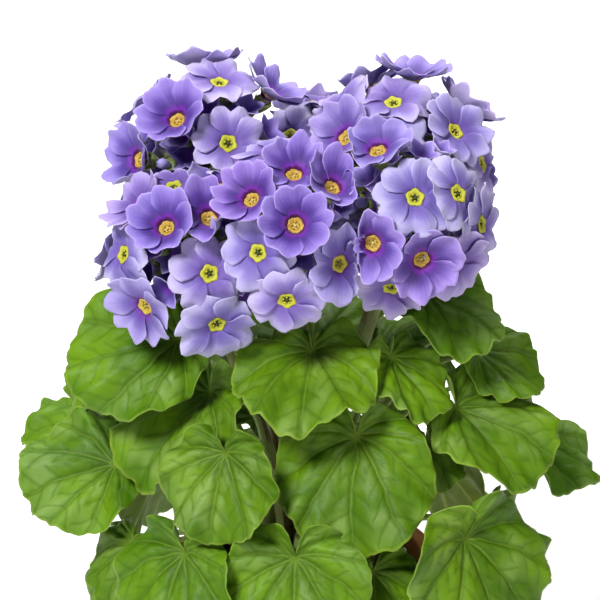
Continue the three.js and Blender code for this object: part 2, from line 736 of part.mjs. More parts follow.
function umbelGeometry(umbel, flowers) {
  const hub = hubPlace(umbel);
  const ball = new THREE.IcosahedronGeometry(hubRadius, 0).translate(hub.x, hub.y, hub.z);
  const own = flowers.filter((flower) => flower.umbel === umbel);
  let solid = toSolid(ball);
  own.forEach((flower) => {
    solid = solid.add(toSolid(flowerGeometry(flower, flowers)));
  });
  umbelPlanes(umbel).forEach(({ point, normal }) => {
    const keep = normal.clone().negate();
    solid = solid.trimByPlane(keep.toArray(), keep.dot(point) + cellGap);
  });
  return toGeometry(largestBody(solid));
}

// Leaves are cut clear of the flower stems and of the leaves that lie above them.
function leafGeometries() {
  const stems = umbels.map((umbel) => toSolid(flowerStemGeometry(umbel, leafClearance)));
  const clear = leaves.map((leaf, i) => leafSolid(leaf, i, leafClearance));
  const order = leaves.map((_, i) => i).sort((a, b) => leaves[b].at[2] - leaves[a].at[2]);
  return leaves.map((leaf, i) => {
    let solid = leafSolid(leaf, i, 0);
    const above = order.slice(0, order.indexOf(i)).map((k) => clear[k]);
    [...stems, ...above].forEach((other) => {
      solid = solid.subtract(other);
    });
    return toGeometry(largestBody(solid));
  });
}

function material(color, roughness) {
  return new THREE.MeshStandardMaterial({ color, roughness, metalness: 0, flatShading: true });
}

function addNode(group, name, geometry, finish) {
  const mesh = new THREE.Mesh(geometry, finish);
  mesh.name = name;
  group.add(mesh);
}

const primrose = new THREE.Group();
const feet = [
  ...leaves.map((leaf) => ({ place: petioleFoot(leaf), radius: petioleRadius })),
  ...umbels.map((umbel) => ({ place: stemFoot(umbel), radius: stemRadius })),
];
addNode(primrose, 'pot', potGeometry(), material(clayColour, 0.85));
addNode(primrose, 'potting_soil', soilGeometry(feet), material(soilColour, 1));
const leafFinish = material(leafColour, 0.6);
leafGeometries().forEach((geometry, i) => {
  addNode(primrose, `leaf_${String(i + 1).padStart(2, '0')}`, geometry, leafFinish);
});
const flowers = placeFlowers();
const stemFinish = material(stemColour, 0.6);
const flowerFinish = material(flowerColour, 0.65);
umbels.forEach((umbel, i) => {
  addNode(primrose, `flower_stem_${i + 1}`, flowerStemGeometry(umbel, 0), stemFinish);
  addNode(primrose, `umbel_${i + 1}`, umbelGeometry(umbel, flowers), flowerFinish);
});

export default primrose;
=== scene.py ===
import json
import math

import bmesh
import bpy
import numpy as np
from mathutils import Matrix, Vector

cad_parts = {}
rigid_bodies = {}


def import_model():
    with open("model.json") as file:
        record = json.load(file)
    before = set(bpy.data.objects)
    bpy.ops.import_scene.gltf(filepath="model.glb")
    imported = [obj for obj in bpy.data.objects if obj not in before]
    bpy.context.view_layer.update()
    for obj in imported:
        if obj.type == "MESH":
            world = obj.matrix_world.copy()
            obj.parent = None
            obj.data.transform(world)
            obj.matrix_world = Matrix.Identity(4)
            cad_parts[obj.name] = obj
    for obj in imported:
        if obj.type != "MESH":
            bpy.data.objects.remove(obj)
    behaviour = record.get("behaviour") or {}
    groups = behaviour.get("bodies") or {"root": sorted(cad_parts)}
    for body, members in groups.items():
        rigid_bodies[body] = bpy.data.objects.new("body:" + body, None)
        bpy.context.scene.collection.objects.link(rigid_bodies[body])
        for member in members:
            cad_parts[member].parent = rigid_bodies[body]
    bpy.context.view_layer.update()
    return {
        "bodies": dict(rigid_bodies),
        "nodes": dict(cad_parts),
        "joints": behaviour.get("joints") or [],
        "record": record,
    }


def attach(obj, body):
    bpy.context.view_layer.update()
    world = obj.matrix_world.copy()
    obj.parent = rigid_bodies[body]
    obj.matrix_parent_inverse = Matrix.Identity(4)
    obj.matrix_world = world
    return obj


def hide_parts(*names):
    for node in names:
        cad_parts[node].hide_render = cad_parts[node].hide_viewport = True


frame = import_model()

print("frame loaded:", len(frame["nodes"]), "nodes")

# Lengths below are in millimetres and angles in degrees, and meshOf turns lengths into metres.
# An azimuth of 0 points to the front of the plant, 90 to its right and -90 to its left.
mm = 0.001
up = np.array([0.0, 0.0, 1.0])
rad = math.radians


def ground(azimuth):
    return np.array([math.sin(rad(azimuth)), -math.cos(rad(azimuth)), 0.0])


def skyward(azimuth, elevation):
    return ground(azimuth) * math.cos(rad(elevation)) + up * math.sin(rad(elevation))


def unit(v):
    v = np.asarray(v, float)
    return v / np.maximum(np.linalg.norm(v, axis=-1, keepdims=True), 1e-12)


def draw(i, j):             # the same number from 0 to 1 each time for the same pair of numbers
    wave = np.sin(i * 127.1 + j * 311.7) * 43758.5453
    return wave - np.floor(wave)


def mixed(a, b, share):
    return a + (b - a) * share


def smooth(x, low=0.0, high=1.0):
    t = np.clip((np.asarray(x, float) - low) / (high - low), 0, 1)
    return t * t * (3 - 2 * t)


def turnedAbout(v, axis, angle):
    c, s = math.cos(rad(angle)), math.sin(rad(angle))
    return v * c + np.cross(axis, v) * s + axis * (axis @ v) * (1 - c)


# Plant layout, the same as in the part's source
soil = {"level": 102.0, "crown": 3.0, "gap": 0.3, "holeDepth": 8.0, "footRise": 4.0}
pot = {"height": 112.0, "rim": 65.0, "base": 45.0, "wall": 5.0, "floor": 7.0, "band": 24.0, "step": 2.6,
       "edge": 1.2, "rounding": (1.2, 0.8, 1.0, 1.6, 1.6, 3.0), "sides": 144, "longest": 7, "drainHoles": 4,
       "drainRadius": 5.0, "drainRing": 27.0, "drainFlat": 8, "drainSides": 24, "drillLow": -5}
# each umbel's hub above the soil, how far off it the middle of its share of the head lies, and its
# flowers one by one: azimuth, elevation, reach, age from 0 to 1
umbels = [
    {"hub": (-45, 5, 217), "share": (-5, -8, 12), "flowers": [
        (-28, 38, 42, 0), (-55, 6, 42, 0.1), (14, 24, 41, 0.9), (-100, 36, 40, 0.6),
        (20, 72, 42, 1), (85, 48, 42, 0.2)]},
    {"hub": (45, 5, 212), "share": (4, -9, 13), "flowers": [
        (-14, 38, 42, 0.9), (70, 6, 43, 1), (50, 34, 42, 0.7), (108, 38, 40, 0.2),
        (-10, 62, 42, 0.8), (-85, 46, 42, 0.9), (-48, 30, 41, 0.4)]},
    {"hub": (-50, -35, 180), "share": (-4, -13, 7), "flowers": [
        (-24, 34, 43, 0), (10, 42, 42, 0), (40, 66, 41, 0.5), (8, 6, 42, 1),
        (14, -32, 44, 1), (-58, 10, 43, 1), (-62, 42, 42, 0.5), (-45, 66, 42, 0.8)]},
    {"hub": (-6, -48, 196), "share": (0, -14, 5), "flowers": [
        (2, 22, 44, 0), (-34, 36, 42, 0), (2, 58, 41, 0), (38, 44, 42, 0),
        (-4, -30, 44, 1), (-24, 2, 40, 0.9), (32, -6, 42, 0.6), (-60, 74, 42, 1)]},
    {"hub": (44, -38, 203), "share": (4, -17, -2), "flowers": [
        (-18, -4, 43, 0.1), (10, 26, 42, 0.9), (44, 24, 43, 1), (14, -16, 42, 0.1),
        (46, -24, 42, 0.7), (66, -2, 43, 1), (-8, -46, 42, 0.9), (-32, 60, 40, 0.3)]},
    {"hub": (-44, 46, 186), "share": (-10, 10, 4), "flowers": []},
    {"hub": (44, 47, 184), "share": (10, 10, 4), "flowers": []},
    {"hub": (0, 45, 188), "share": (-2, -3, 12), "flowers": [(-16, 52, 43, 1), (38, 8, 42, 0.6)]},
]
fill = {"reach": 42, "tries": 90, "spacing": 27, "inside": 6, "outward": 0.1, "youngest": 0.15,
        "golden": 137.508, "span": 1.72, "lowest": 264, "centre": np.array([0, 4, 270])}
rings = {"inner": 18, "middle": 25, "outer": 33}
# each leaf: azimuth, reach and rise of its foot; heading, pitch and roll; size; droop; ring of its petiole
leaves = [
    ((-60, 70, 136), (-86, -14, -44), 36, 0.006, "inner"),
    ((-98, 86, 108), (-97, -30, -20), 27, 0.008, "middle"),
    ((4, 47, 134), (-8, -18, 0), 34, 0.008, "inner"),
    ((-52, 57, 108), (-62, -36, -10), 37, 0.006, "middle"),
    ((-26, 85, 95), (-25, -60, 0), 29, 0.005, "middle"),
    ((22, 66, 97), (-8, -54, 0), 38, 0.005, "middle"),
    ((-74, 96, 68), (-82, -14, -36), 32, 0.006, "outer"),
    ((-106, 104, 68), (-98, -8, -14), 28, 0.006, "outer"),
    ((-35, 98, 45), (-40, -58, 0), 34, 0.005, "outer"),
    ((-60, 94, 34), (-60, -52, -10), 22, 0.008, "outer"),
    ((-84, 84, 14), (-76, -56, 0), 31, 0.004, "outer"),
    ((-3, 89, 47), (-3, -60, 0), 38, 0.005, "outer"),
    ((46, 105, 50), (40, -62, 0), 43, 0.004, "outer"),
    ((22, 84, 34), (20, -62, 0), 27, 0.006, "outer"),
    ((66, 62, 156), (64, -22, 14), 28, 0.008, "inner"),
    ((42, 60, 130), (50, -34, 0), 24, 0.008, "middle"),
    ((80, 84, 122), (82, -24, 24), 24, 0.008, "inner"),
    ((62, 82, 102), (76, -20, 22), 35, 0.006, "middle"),
    ((90, 104, 72), (90, -24, 18), 29, 0.006, "middle"),
    ((52, 72, 88), (54, -50, 0), 18, 0.006, "outer"),
    ((80, 94, 34), (76, -46, 0), 28, 0.006, "outer"),
    ((104, 74, 120), (105, -28, 0), 27, 0.008, "middle"),
    ((-150, 40, 66), (-150, 26, 0), 30, 0.007, "inner"),
    ((176, 46, 100), (176, 26, 0), 32, 0.007, "inner"),
    ((138, 52, 96), (130, 24, 0), 30, 0.007, "inner"),
    ((-134, 88, 80), (-133, -46, 0), 30, 0.006, "middle"),
    ((-166, 90, 92), (-165, -54, 0), 33, 0.006, "middle"),
    ((158, 93, 76), (158, -56, 0), 32, 0.006, "middle"),
    ((124, 92, 78), (123, -44, 0), 33, 0.006, "middle"),
    ((-140, 96, 32), (-140, -60, 0), 36, 0.005, "outer"),
    ((180, 98, 36), (180, -60, 0), 37, 0.005, "outer"),
    ((140, 96, 32), (140, -60, 0), 36, 0.005, "outer"),
]


# Node trees: the same class builds shader trees and geometry trees
class Value:                # a socket whose number varies: each operator adds a Math node
    def __init__(self, tree, socket):
        self.tree = tree
        self.socket = socket

    def __add__(self, other):
        return self.tree.sum("ADD", self, other)

    def __sub__(self, other):
        return self.tree.sum("SUBTRACT", self, other)

    def __rsub__(self, other):
        return self.tree.sum("SUBTRACT", other, self)

    def __mul__(self, other):
        return self.tree.sum("MULTIPLY", self, other)

    def __truediv__(self, other):
        return self.tree.sum("DIVIDE", self, other)

    def __pow__(self, other):
        return self.tree.sum("POWER", self, other)

    def __abs__(self):
        return self.tree.sum("ABSOLUTE", self)

    __radd__ = __add__
    __rmul__ = __mul__


class Tree:
    def __init__(self, nodes, links):
        self.nodes = nodes
        self.links = links

    def node(self, kind, settings=None, sockets=None, output=0):
        made = self.nodes.new(kind)
        for key, value in (settings or {}).items():
            setattr(made, key, value)
        for key, value in (sockets or {}).items():
            if isinstance(value, Value):
                self.links.new(value.socket, made.inputs[key])
            elif value is not None:
                made.inputs[key].default_value = value
        return Value(self, made.outputs[output]) if len(made.outputs) else made

    def sum(self, operation, *values):
        return self.node("ShaderNodeMath", {"operation": operation}, dict(enumerate(values)))

    def most(self, a, b):
        return self.sum("MAXIMUM", a, b)

    def steps(self, value, low, high):      # 0 below low, 1 above high, smooth between
        return self.node("ShaderNodeMapRange", {"interpolation_type": "SMOOTHSTEP"},
                         {"Value": value, "From Min": low, "From Max": high})

    def near(self, distance, width):        # 1 on a line, fading to 0 at width from it
        return 1 - self.steps(distance, 0.0, width)

    def colour(self, share, a, b, blend="MIX"):
        a, b = ((*c, 1) if isinstance(c, tuple) else c for c in (a, b))
        return self.node("ShaderNodeMix", {"data_type": "RGBA", "blend_type": blend}, {0: share, 6: a, 7: b}, 2)

    def place(self):                        # Object coordinates
        return self.node("ShaderNodeTexCoord", output=3)

    def stretched(self, vector, scale):
        return self.node("ShaderNodeMapping", None, {"Vector": vector, "Scale": scale})

    def axis(self, vector, i):              # x, y or z of a vector
        return self.node("ShaderNodeSeparateXYZ", None, {0: vector}, i)

    def attribute(self, name, output="Fac"):
        return self.node("ShaderNodeAttribute", {"attribute_name": name}, output=output)

    def noise(self, vector, scale, detail=3.0, rough=0.55, output="Fac"):
        return self.node("ShaderNodeTexNoise", None,
                         {"Vector": vector, "Scale": scale, "Detail": detail, "Roughness": rough}, output)

    def bump(self, height, strength, distance):
        return self.node("ShaderNodeBump", None, {"Height": height, "Strength": strength, "Distance": distance})


def shaderTree(name):
    made = bpy.data.materials.new(name)
    made.use_nodes = True
    made.node_tree.nodes.clear()
    return made, Tree(made.node_tree.nodes, made.node_tree.links)


def finished(tree, **sockets):      # ends a material's tree in one Principled shader
    names = {key.replace("_", " "): value for key, value in sockets.items()}
    shader = tree.node("ShaderNodeBsdfPrincipled", None, names)
    tree.node("ShaderNodeOutputMaterial", None, {"Surface": shader})


# Petals: from the throat to the rim, along runs from 0 to 1 and across from -1 to 1; below the throat,
# along is negative, down the tube
petalLook = {
    # the deep colours are the throat's own deep violet with painted shade of the cup laid in
    "young": (0.132, 0.070, 0.390), "youngDeepAndShade": (0.028, 0.006, 0.122), "youngRim": (0.345, 0.260, 0.660),
    "old": (0.290, 0.238, 0.560), "oldDeepAndShade": (0.145, 0.090, 0.375), "oldRim": (0.510, 0.470, 0.720),
    # edge is a painted highlight along the petal's rim
    "edge": (0.720, 0.660, 0.860), "glow": (0.190, 0.022, 0.400), "ring": (0.075, 0.003, 0.070),
    "tube": (0.52, 0.50, 0.40), "back": (0.560, 0.500, 0.780),
    "cool": (0.45, 0.49, 0.53), "warm": (0.56, 0.46, 0.51),
    # how strongly each is laid on, and where along the petal it starts and ends
    "glowShare": 0.85, "ringShare": 0.95, "backShare": 0.75, "edgeShare": 0.30, "tintShare": 0.8,
    "deepAndShadeSpan": (0.0, 0.78), "rimSpan": (0.38, 1.05), "glowSpan": (0.10, 0.36), "ringSpan": (0.07, 0.15),
    "rimHighlightSpan": (0.975, 1.0), "tubeSpan": (-0.02, -0.25), "freshAges": (0.3, 0.8),
    "cloud": 90.0, "dapple": 420.0, "drift": 160.0, "veins": 34.0, "veinWander": 9.0, "veinShare": 0.16,
    "veinFade": 0.10,
}


def petalPaint():
    look = petalLook
    made, t = shaderTree("petal")
    along, across = t.attribute("along"), t.attribute("across")
    age, tint, under = t.attribute("age"), t.attribute("tint"), t.attribute("under")
    place = t.place()
    cloud = t.noise(place, look["cloud"], 2.0)
    # towards the throat the petal darkens to its deep colour: partly its own violet, partly painted shade in
    # the cup
    depth = t.steps(along + (cloud - 0.5) * 0.30, *look["deepAndShadeSpan"])
    rim = t.steps(along + (cloud - 0.5) * 0.40 - abs(across) * 0.10, *look["rimSpan"])
    young = t.colour(rim, t.colour(depth, look["youngDeepAndShade"], look["young"]), look["youngRim"])
    old = t.colour(rim, t.colour(depth, look["oldDeepAndShade"], look["old"]), look["oldRim"])
    colour = t.colour(age, young, old)
    # fine veins fan out from the throat
    fan = across * look["veins"] + (t.noise(place, look["drift"], 2.0) - 0.5) * look["veinWander"]
    ribs = t.sum("SINE", fan) * 0.5 + 0.5
    shown = ribs * (1 - rim) * (look["veinShare"] - look["veinFade"] * age)
    colour = t.colour(shown, colour, look["youngDeepAndShade"])
    # round the eye of a fresh flower: a dark line, then a purple glow; all but gone in an old one
    fresh = 1 - t.steps(age, *look["freshAges"])
    warped = along + (cloud - 0.5) * 0.10
    for part in ("glow", "ring"):
        shown = (1 - t.steps(warped, *look[part + "Span"])) * fresh * look[part + "Share"]
        colour = t.colour(shown, colour, look[part])
    colour = t.colour(under * look["backShare"], colour, look["back"])
    # a thin whitish line at the rim: a painted highlight
    colour = t.colour(t.steps(along, *look["rimHighlightSpan"]) * look["edgeShare"], colour, look["edge"])
    colour = t.colour(look["tintShare"], colour, t.colour(tint, look["cool"], look["warm"]), "SOFT_LIGHT")
    colour = t.colour(t.steps(along, *look["tubeSpan"]), colour, look["tube"])
    dapple = t.noise(place, look["dapple"], 2.0)
    height = ribs * 0.35 + dapple * 0.6
    finished(t, Base_Color=colour, Roughness=0.50 + dapple * 0.16, Normal=t.bump(height, 0.35, 0.00035),
             Subsurface_Weight=0.12, Subsurface_Radius=(0.5, 0.4, 1.0), Subsurface_Scale=0.0015,
             Sheen_Weight=0.10, Sheen_Roughness=0.5, Specular_IOR_Level=0.35)
    return made


# Eyes: out is 0 in the middle and 1 at the edge; a ripe eye is orange-yellow, a late one lemon round green
eyeLook = {
    "ripeMiddle": (0.62, 0.50, 0.13), "ripe": (0.60, 0.40, 0.05), "ripeEdge": (0.70, 0.47, 0.24),
    "speck": (0.38, 0.16, 0.03), "dent": (0.24, 0.17, 0.02),
    "lateMiddle": (0.055, 0.070, 0.006), "late": (0.50, 0.49, 0.035), "dots": 1500.0,
}


def eyePaint():
    look = eyeLook
    made, t = shaderTree("eye")
    out, age = t.attribute("out"), t.attribute("age")
    dots = t.noise(t.place(), look["dots"], 2.0)
    ripe = t.colour(t.steps(out, 0.1, 0.5), look["ripeMiddle"], look["ripe"])
    ripe = t.colour(t.steps(dots, 0.45, 0.6) * t.steps(out, 0.3, 0.8), ripe, look["speck"])
    ripe = t.colour(t.near(abs(out - 0.42), 0.16) * 0.8, ripe, look["dent"])
    ripe = t.colour(t.steps(out, 0.78, 0.98) * 0.6, ripe, look["ripeEdge"])
    late = t.colour(t.steps(out, 0.30, 0.62), look["lateMiddle"], look["late"])
    colour = t.colour(t.steps(age, *petalLook["freshAges"]), ripe, late)
    finished(t, Base_Color=colour, Roughness=0.55 + dots * 0.2, Normal=t.bump(dots, 0.5, 0.0003),
             Subsurface_Weight=0.1, Subsurface_Scale=0.001)
    return made


# Leaves: flat is a point's place on the flattened blade, in metres, and out runs from its foot to its edge
leafLook = {
    # deep is painted shade in the vein grooves, between the branch veins and down the funnel, and the leaf's
    # own darker green on the fine vein net
    "deep": (0.018, 0.056, 0.001), "mid": (0.062, 0.152, 0.001), "light": (0.136, 0.264, 0.004),
    "vein": (0.220, 0.340, 0.030), "edge": (0.300, 0.420, 0.060), "under": (0.150, 0.240, 0.050),
    # among the next line's colours is a painted sheen for the raised lamina
    "paintedSheen": (0.235, 0.342, 0.100), "cool": (0.42, 0.50, 0.50), "warm": (0.58, 0.55, 0.30),
    # the fan of main veins and the branches between them: degrees, curve, millimetres apart, slope
    "step": 34.0, "bow": 0.22, "spacing": 9.0, "slant": 0.8,
    # half widths in metres, and how strongly each is laid on
    "mainWidth": 0.0011, "grooveWidth": 0.0032, "branchWidth": 0.0006, "shadeWidth": 0.0018,
    "grooveShadeShare": 0.42, "shadeShare": 0.26, "funnelShadeShare": 0.5, "meshShare": 0.10, "paintedSheenShare": 0.50,
    "mainShare": 0.45, "branchShare": 0.10, "edgeShare": 0.55, "tintShare": 0.5,
    # how far the veins wander, in metres, and the scale of each noise
    "wander": 0.006, "drift": 70.0, "mesh": 420.0, "cloud": 28.0, "sheenPatches": 42.0, "fine": 700.0,
}


def leafPaint():
    look = leafLook
    made, t = shaderTree("leaf")
    flat = t.attribute("flat", "Vector")
    out, side, tint = t.attribute("out"), t.attribute("side"), t.attribute("tint")
    place = t.place()
    drift = t.noise(flat, look["drift"], 2.0, output="Color")
    drift = t.node("ShaderNodeVectorMath", {"operation": "SUBTRACT"}, {0: drift, 1: (0.5, 0.5, 0.5)})
    warped = t.node("ShaderNodeVectorMath", {"operation": "MULTIPLY_ADD"},
                    {0: drift, 1: (look["wander"],) * 3, 2: flat})
    x, y = t.axis(warped, 0), t.axis(warped, 1)
    reach = (x * x + y * y) ** 0.5
    turn = abs(t.sum("ARCTAN2", y, x)) * (1 + look["bow"] * out) / rad(look["step"])
    index = t.sum("ROUND", turn)
    aside = abs(turn - index) * rad(look["step"]) * reach           # metres from the nearest main vein
    chevron = (reach - aside * look["slant"]) / (look["spacing"] * mm) + index * 0.37
    rung = abs(t.sum("FRACT", chevron + 0.5) - 0.5) * look["spacing"] * mm
    main = t.near(aside, look["mainWidth"]) * (1 - out * 0.5)
    groove = t.near(aside, look["grooveWidth"])
    branch = t.near(rung, look["branchWidth"]) * t.near(out, 1.05)
    shade = t.near(rung, look["shadeWidth"])
    net = t.node("ShaderNodeTexVoronoi", {"feature": "DISTANCE_TO_EDGE"},
                 {"Vector": warped, "Scale": look["mesh"]})
    mesh = t.near(net, 0.12)
    cloud = t.noise(place, look["cloud"])
    fine = t.noise(place, look["fine"])
    body = t.colour(t.steps(cloud, 0.32, 0.68), look["mid"], look["light"])
    # painted shade: deep is laid in the grooves by the main veins, in bands by the branch veins and low in the
    # funnel; on the fine net it is the leaf's own darker green
    for share in (groove * look["grooveShadeShare"], shade * look["shadeShare"],
                  t.near(out, 0.5) * look["funnelShadeShare"], mesh * look["meshShare"]):
        body = t.colour(share, body, look["deep"])
    # painted sheen: a pale grey-green on patches of the raised lamina between the veins
    paintedSheen = t.steps(t.noise(place, look["sheenPatches"], 2.0), 0.46, 0.70) * (1 - groove) * (1 - shade * 0.6)
    body = t.colour(paintedSheen * look["paintedSheenShare"], body, look["paintedSheen"])
    body = t.colour(t.most(main * look["mainShare"], branch * look["branchShare"]), body, look["vein"])
    body = t.colour(t.steps(out, 0.965, 1.0) * look["edgeShare"], body, look["edge"])
    back = t.colour(t.most(main, branch * 0.6), look["under"], look["edge"])
    colour = t.colour(side, back, body)
    colour = t.colour(look["tintShare"], colour, t.colour(tint, look["cool"], look["warm"]), "SOFT_LIGHT")
    height = (1 - groove) * 0.5 + (1 - shade) * 0.30 + (1 - mesh) * 0.10 + fine * 0.06
    finished(t, Base_Color=colour, Roughness=0.46 + fine * 0.10 + groove * 0.06,
             Normal=t.bump(height, 0.34, 0.0009), Specular_IOR_Level=0.22,
             Subsurface_Weight=0.10, Subsurface_Radius=(0.5, 1.0, 0.15), Subsurface_Scale=0.0015)
    return made


stemLook = {"fresh": (0.215, 0.335, 0.055), "pale": (0.36, 0.43, 0.14), "red": (0.150, 0.060, 0.028),
            "lengthways": (1.0, 1.0, 0.16), "grain": 900.0, "patch": 60.0}


def stemPaint():            # red is 1 where a stem is flushed brown-red, low on it, and 0 at its top
    look = stemLook
    made, t = shaderTree("stem")
    place = t.place()
    grain = t.noise(t.stretched(place, look["lengthways"]), look["grain"])
    patch = t.noise(place, look["patch"], 2.0)
    colour = t.colour(grain, look["fresh"], look["pale"])
    flush = t.attribute("red") * t.steps(patch + grain * 0.4, 0.45, 0.85)
    colour = t.colour(flush, colour, look["red"])
    finished(t, Base_Color=colour, Roughness=0.52 + grain * 0.16, Normal=t.bump(grain, 0.4, 0.0003),
             Subsurface_Weight=0.08, Subsurface_Scale=0.001)
    return made


def hairPaint():
    made, t = shaderTree("hair")
    colour = t.colour(t.noise(t.place(), 200.0, 1.0), (0.55, 0.60, 0.42), (0.78, 0.80, 0.66))
    finished(t, Base_Color=colour, Roughness=0.5)
    return made


# Clay with bands from the wheel, lime low on it and a damp line under its rim; heights in metres
clayLook = {
    "dark": (0.37, 0.125, 0.052), "light": (0.53, 0.205, 0.095), "grit": (0.24, 0.075, 0.032),
    "lime": (0.66, 0.52, 0.42), "limeRise": 0.030, "limeShare": 0.55,
    "damp": (0.25, 0.08, 0.035), "dampLine": 0.096, "dampWidth": 0.016, "dampShare": 0.35,
    "mottleScale": 26.0, "gritScale": 900.0, "bandScale": 420.0, "sideways": (0.05, 0.05, 1.0),
}


def clayPaint():
    look = clayLook
    made, t = shaderTree("clay")
    place = t.place()
    z = t.axis(place, 2)
    mottle = t.noise(place, look["mottleScale"], 4.0)
    grit = t.noise(place, look["gritScale"], rough=0.7)
    bands = t.noise(t.stretched(place, look["sideways"]), look["bandScale"], 2.0)
    colour = t.colour(mottle, look["dark"], look["light"])
    colour = t.colour(t.steps(grit, 0.60, 0.74) * 0.5, colour, look["grit"])
    lime = t.near(z + (mottle - 0.5) * 0.03, look["limeRise"]) * t.steps(mottle + grit * 0.3, 0.5, 0.9)
    colour = t.colour(lime * look["limeShare"], colour, look["lime"])
    damp = t.near(abs(z - look["dampLine"] + (mottle - 0.5) * 0.02), look["dampWidth"])
    colour = t.colour(damp * look["dampShare"], colour, look["damp"])
    height = grit * 0.5 + bands * 0.7
    finished(t, Base_Color=colour, Roughness=0.80 + grit * 0.15, Normal=t.bump(height, 0.45, 0.0005),
             Specular_IOR_Level=0.3)
    return made


soilLook = {                # dark and light
    "soil": ((0.013, 0.008, 0.005), (0.060, 0.034, 0.020)),
    "perlite": ((0.42, 0.40, 0.36), (0.72, 0.70, 0.66)),
}


def soilPaint(name):
    made, t = shaderTree(name)
    place = t.place()
    clump, grit = t.noise(place, 120.0, 4.0, 0.7), t.noise(place, 900.0, 3.0, 0.7)
    colour = t.colour(t.steps(clump, 0.35, 0.68), *soilLook[name])
    finished(t, Base_Color=colour, Roughness=0.85 + grit * 0.13, Normal=t.bump(clump + grit * 0.5, 0.8, 0.0012),
             Specular_IOR_Level=0.2)
    return made


paints = {"petal": petalPaint(), "eye": eyePaint(), "leaf": leafPaint(), "stem": stemPaint(),
          "hair": hairPaint(), "clay": clayPaint(), "soil": soilPaint("soil"), "perlite": soilPaint("perlite")}
print("materials made:", ", ".join(paints))


# Meshes
def meshOf(name, points, faces, numbers=None, vectors=None):
    mesh = bpy.data.meshes.new(name)
    mesh.from_pydata((np.asarray(points) * mm).tolist(), [], faces)
    for key, values in (numbers or {}).items():
        mesh.attributes.new(key, "FLOAT", "POINT").data.foreach_set("value", np.asarray(values, np.float32))
    for key, values in (vectors or {}).items():
        flat = np.asarray(values, np.float32).ravel()
        mesh.attributes.new(key, "FLOAT_VECTOR", "POINT").data.foreach_set("vector", flat)
    mesh.shade_smooth()
    return mesh


def weld(mesh):
    work = bmesh.new()
    work.from_mesh(mesh)
    bmesh.ops.remove_doubles(work, verts=work.verts, dist=1e-6)
    work.to_mesh(mesh)
    work.free()


def objectOf(name, mesh, paint=None):
    made = bpy.data.objects.new(name, mesh)
    bpy.context.scene.collection.objects.link(made)
    if paint:
        mesh.materials.append(paints[paint])
    return made


def joined(name, objects):
    with bpy.context.temp_override(active_object=objects[0], selected_editable_objects=objects):
        bpy.ops.object.join()
    objects[0].name = objects[0].data.name = name
    return objects[0]


class Gather:               # collects closed shapes, with their numbers at each point, for one mesh
    def __init__(self):
        self.points, self.faces, self.numbers, self.count = [], [], {}, 0

    def add(self, points, faces, **numbers):
        points = np.asarray(points).reshape(-1, 3)
        self.faces += [[i + self.count for i in face] for face in faces]
        self.points.append(points)
        self.count += len(points)
        for key, values in numbers.items():
            self.numbers.setdefault(key, []).append(np.broadcast_to(np.asarray(values, float), len(points)))

    def mesh(self, name):
        numbers = {key: np.concatenate(values) for key, values in self.numbers.items()}
        made = meshOf(name, np.concatenate(self.points), self.faces, numbers)
        weld(made)
        return made


def gridNormals(grid):
    return unit(np.cross(np.gradient(grid, axis=0), np.gradient(grid, axis=1)))


def twoSides(grid, half):   # a sheet's upper and lower points, half its thickness to each side
    return np.concatenate([(grid + half).reshape(-1, 3), (grid - half).reshape(-1, 3)])


def shellFaces(rows, cols, pole=False):     # two grids back to back, with a rim all round
    at = lambda side, i, j: side * rows * cols + i * cols + j
    faces = []
    for i in range(rows - 1):
        for j in range(cols - 1):
            faces.append((at(0, i, j), at(0, i + 1, j), at(0, i + 1, j + 1), at(0, i, j + 1)))
            faces.append((at(1, i, j), at(1, i, j + 1), at(1, i + 1, j + 1), at(1, i + 1, j)))
    for j in range(cols - 1):
        last = rows - 1
        faces.append((at(0, last, j), at(1, last, j), at(1, last, j + 1), at(0, last, j + 1)))
        if not pole:
            faces.append((at(0, 0, j), at(0, 0, j + 1), at(1, 0, j + 1), at(1, 0, j)))
    for i in range(rows - 1):
        last = cols - 1
        faces.append((at(0, i, 0), at(1, i, 0), at(1, i + 1, 0), at(0, i + 1, 0)))
        faces.append((at(0, i, last), at(0, i + 1, last), at(1, i + 1, last), at(1, i, last)))
    return faces


def turnedFaces(rows, cols):                # a profile turned round an axis, from pole to pole
    faces = []
    for i in range(rows - 1):
        for j in range(cols):
            k = (j + 1) % cols
            faces.append((i * cols + j, i * cols + k, (i + 1) * cols + k, (i + 1) * cols + j))
    return faces


def turned(profile, cols, place, lobes=0, lobed=None):
    # place(r, angle, height) gives a point; lobed rows swell by a share, and rise, at each of the lobes
    angle = np.linspace(0, 2 * math.pi, cols, endpoint=False)
    wave = np.cos(lobes * angle)
    rows = []
    for i, (r, z) in enumerate(profile):
        swell, rise = (lobed or {}).get(i, (0, 0))
        rows.append(place(r * (1 + swell * wave), angle, z + rise * wave))
    return np.array(rows), turnedFaces(len(profile), cols)


def upright(x=0, y=0):          # a place for turned, round an upright axis
    return lambda r, angle, height: np.stack(
        [x + r * np.cos(angle), y + r * np.sin(angle), height + 0 * angle], -1)


# Geometry Nodes
def newTree(name, inputs):
    tree = bpy.data.node_groups.new(name, "GeometryNodeTree")
    tree.interface.new_socket("Geometry", in_out="INPUT", socket_type="NodeSocketGeometry")
    tree.interface.new_socket("Geometry", in_out="OUTPUT", socket_type="NodeSocketGeometry")
    for key, kind in inputs.items():
        tree.interface.new_socket(key, in_out="INPUT", socket_type="NodeSocket" + kind)
    work = Tree(tree.nodes, tree.links)
    start = tree.nodes.new("NodeGroupInput")
    return tree, work, {socket.name: Value(work, socket) for socket in start.outputs if socket.name}


def endTree(work, geometry, material):
    real = work.node("GeometryNodeRealizeInstances", None, {0: geometry})
    painted = work.node("GeometryNodeSetMaterial", None, {"Geometry": real, "Material": material})
    work.node("NodeGroupOutput", None, {0: painted})


